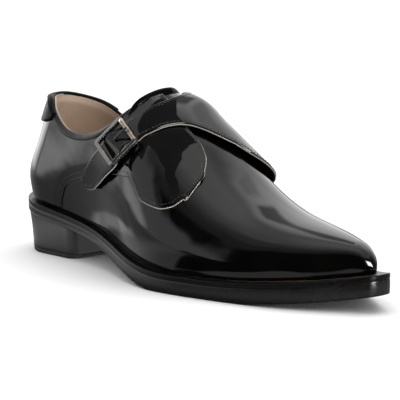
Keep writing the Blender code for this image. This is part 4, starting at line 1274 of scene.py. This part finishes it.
def tent_level(azimuth, elevation):
    """The tent's brightness in each direction."""
    level = np.full(azimuth.shape, TENT_LEVEL)
    for az0, az1, el0, el1, az_soft, el_soft, value in TENT:
        off_az = (azimuth - (az0 + az1) / 2 + 180) % 360 - 180
        inside_az = np.clip(((az1 - az0) / 2 - np.abs(off_az)) / az_soft + 0.5, 0, 1)
        inside_el = np.clip(((el1 - el0) / 2 - np.abs(elevation - (el0 + el1) / 2)) / el_soft + 0.5, 0, 1)
        if az1 - az0 >= 360:
            inside_az = 1.0
        weight = inside_az ** 2 * (3 - 2 * inside_az) * inside_el ** 2 * (3 - 2 * inside_el)
        level = level + (value - level) * weight
    return level


def closing_grid(rows, columns):
    """Faces of a grid that closes on itself after its last row."""
    faces = grid_faces(rows, columns)
    last = (rows - 1) * columns
    return faces + [[last + c, last + c + 1, c + 1, c] for c in range(columns - 1)]


def glowing(name, points, faces, level):
    """A glowing surface that only gloss sees; each point has its level."""
    mesh = bpy.data.meshes.new(name)
    mesh.from_pydata(points.tolist(), [], faces)
    glow = mesh.attributes.new("glow", "FLOAT", "POINT")
    glow.data.foreach_set("value", np.asarray(level, np.float32))
    paint = bpy.data.materials.new(name)
    paint.use_nodes = True
    tree = paint.node_tree
    tree.nodes.clear()
    shine = tree.nodes.new("ShaderNodeEmission")
    read = tree.nodes.new("ShaderNodeAttribute")
    read.attribute_name = "glow"
    out = tree.nodes.new("ShaderNodeOutputMaterial")
    tree.links.new(read.outputs["Fac"], shine.inputs["Strength"])
    tree.links.new(shine.outputs["Emission"], out.inputs["Surface"])
    mesh.materials.append(paint)
    made = placed(name, mesh)
    made.visible_camera = made.visible_diffuse = made.visible_shadow = False
    made.visible_transmission = made.visible_volume_scatter = False


def make_tent():
    """A dome of soft panels and dark flags round the shoe."""
    az, el = np.meshgrid(np.linspace(-180, 180, 361)[:-1], np.linspace(-22, 90, 113), indexing="ij")
    points = np.stack([np.cos(el * DEGREE) * np.cos(az * DEGREE), np.cos(el * DEGREE) * np.sin(az * DEGREE),
                       np.sin(el * DEGREE)], -1) * TENT_RADIUS
    glowing("tent", points.reshape(-1, 3), closing_grid(*az.shape), tent_level(az, el).ravel())


def make_floor_reflection():
    """The floor as the gloss sees it, glowing: painted shade beside the sole, a painted contact shadow along
    its edge, and black where the dark flag starts.
    """
    turns, reaches = np.meshgrid(np.linspace(-180, 180, 361)[:-1], np.geomspace(0.03, TENT_RADIUS, 120),
                                 indexing="ij")
    x, y = reaches * np.cos(turns * DEGREE), reaches * np.sin(turns * DEGREE)
    outline = around(0.0, lambda x: 0 * x)[:, :2]
    off = np.hypot(x[..., None] - outline[:, 0], y[..., None] - outline[:, 1]).min(-1)
    # Painted light and shade of the mirrored floor: grey near the shoe, lighter behind the heel
    painted_floor_light = 0.45 + 0.2 * eased((-x - 10 * MM) / (60 * MM))
    painted_floor_light = painted_floor_light + 0.45 * eased((-x - 105 * MM) / (40 * MM)) * eased((-y - 36 * MM) / (10 * MM))
    painted_floor_light = painted_floor_light + (0.30 - painted_floor_light) * eased((off - 38 * MM) / (26 * MM)) * eased((-x - 60 * MM) / (80 * MM))
    # Painted contact shadow: darker towards the sole's outline
    painted_floor_light = painted_floor_light * (0.15 + 0.85 * eased(off / (20 * MM)))
    sunk = -np.arctan(70 * MM / reaches) / DEGREE
    painted_floor_light = painted_floor_light + (tent_level(turns, sunk) - painted_floor_light) * eased((off - 120 * MM) / (300 * MM))
    inside = np.minimum((x - 8 * MM - 0.29 * (y + 80 * MM)), np.interp(x, *DARK_FLOOR.T) - y)
    level = painted_floor_light + (DARK_LEVEL - painted_floor_light) * eased(inside / (5 * MM) + 0.5) * (turns < 0)
    points = np.stack([x, y, np.full(x.shape, CARD_LIFT)], -1)
    glowing("card", points.reshape(-1, 3), closing_grid(*x.shape), level.ravel())


def make_shade_flag():
    """A small dark flag over the instep, which the strap and the outer quarter mirror: a painted dark
    reflection, and painted shade beside the strap's edge.
    """
    points = np.concatenate([FLAG, np.full((len(FLAG), 1), FLAG_HEIGHT)], -1)
    glowing("flag", points, [list(range(len(FLAG)))], np.full(len(FLAG), SHADE_FLAG_LEVEL))


def make_light():
    """An even white surround and one large soft panel overhead."""
    world = bpy.data.worlds.new("studio")
    world.use_nodes = True
    world.node_tree.nodes["Background"].inputs["Color"].default_value = (1, 1, 1, 1)
    world.node_tree.nodes["Background"].inputs["Strength"].default_value = WORLD_LEVEL
    world.cycles_visibility.glossy = False
    bpy.context.scene.world = world
    lamp = bpy.data.lights.new("overhead", "AREA")
    lamp.shape = "RECTANGLE"
    lamp.size, lamp.size_y = OVERHEAD_SIZE
    lamp.energy = OVERHEAD_ENERGY
    made = placed("overhead", lamp)
    made.location = OVERHEAD_PLACE
    made.rotation_euler = (Vector((0, 0, 0)) - made.location).to_track_quat("-Z", "Y").to_euler()
    made.visible_camera = made.visible_glossy = False


def make_camera():
    """The photographer's place, 1.3 m away, aimed at this one shoe."""
    camera = bpy.data.cameras.new("camera")
    camera.sensor_width = 36
    camera.lens = CAMERA_LENS
    camera.clip_start = 0.05
    place, aim = Vector(CAMERA_PLACE) * MM, Vector(CAMERA_AIM) * MM
    turn = (aim - place).to_track_quat("-Z", "Y").to_matrix().to_4x4()
    made = placed("camera", camera)
    made.matrix_world = Matrix.Translation(place) @ turn @ Matrix.Rotation(CAMERA_ROLL * DEGREE, 4, "Z")
    bpy.context.scene.camera = made


make_floor()
make_tent()
make_floor_reflection()
make_shade_flag()
make_light()
make_camera()
bpy.context.scene.view_settings.view_transform = "Standard"
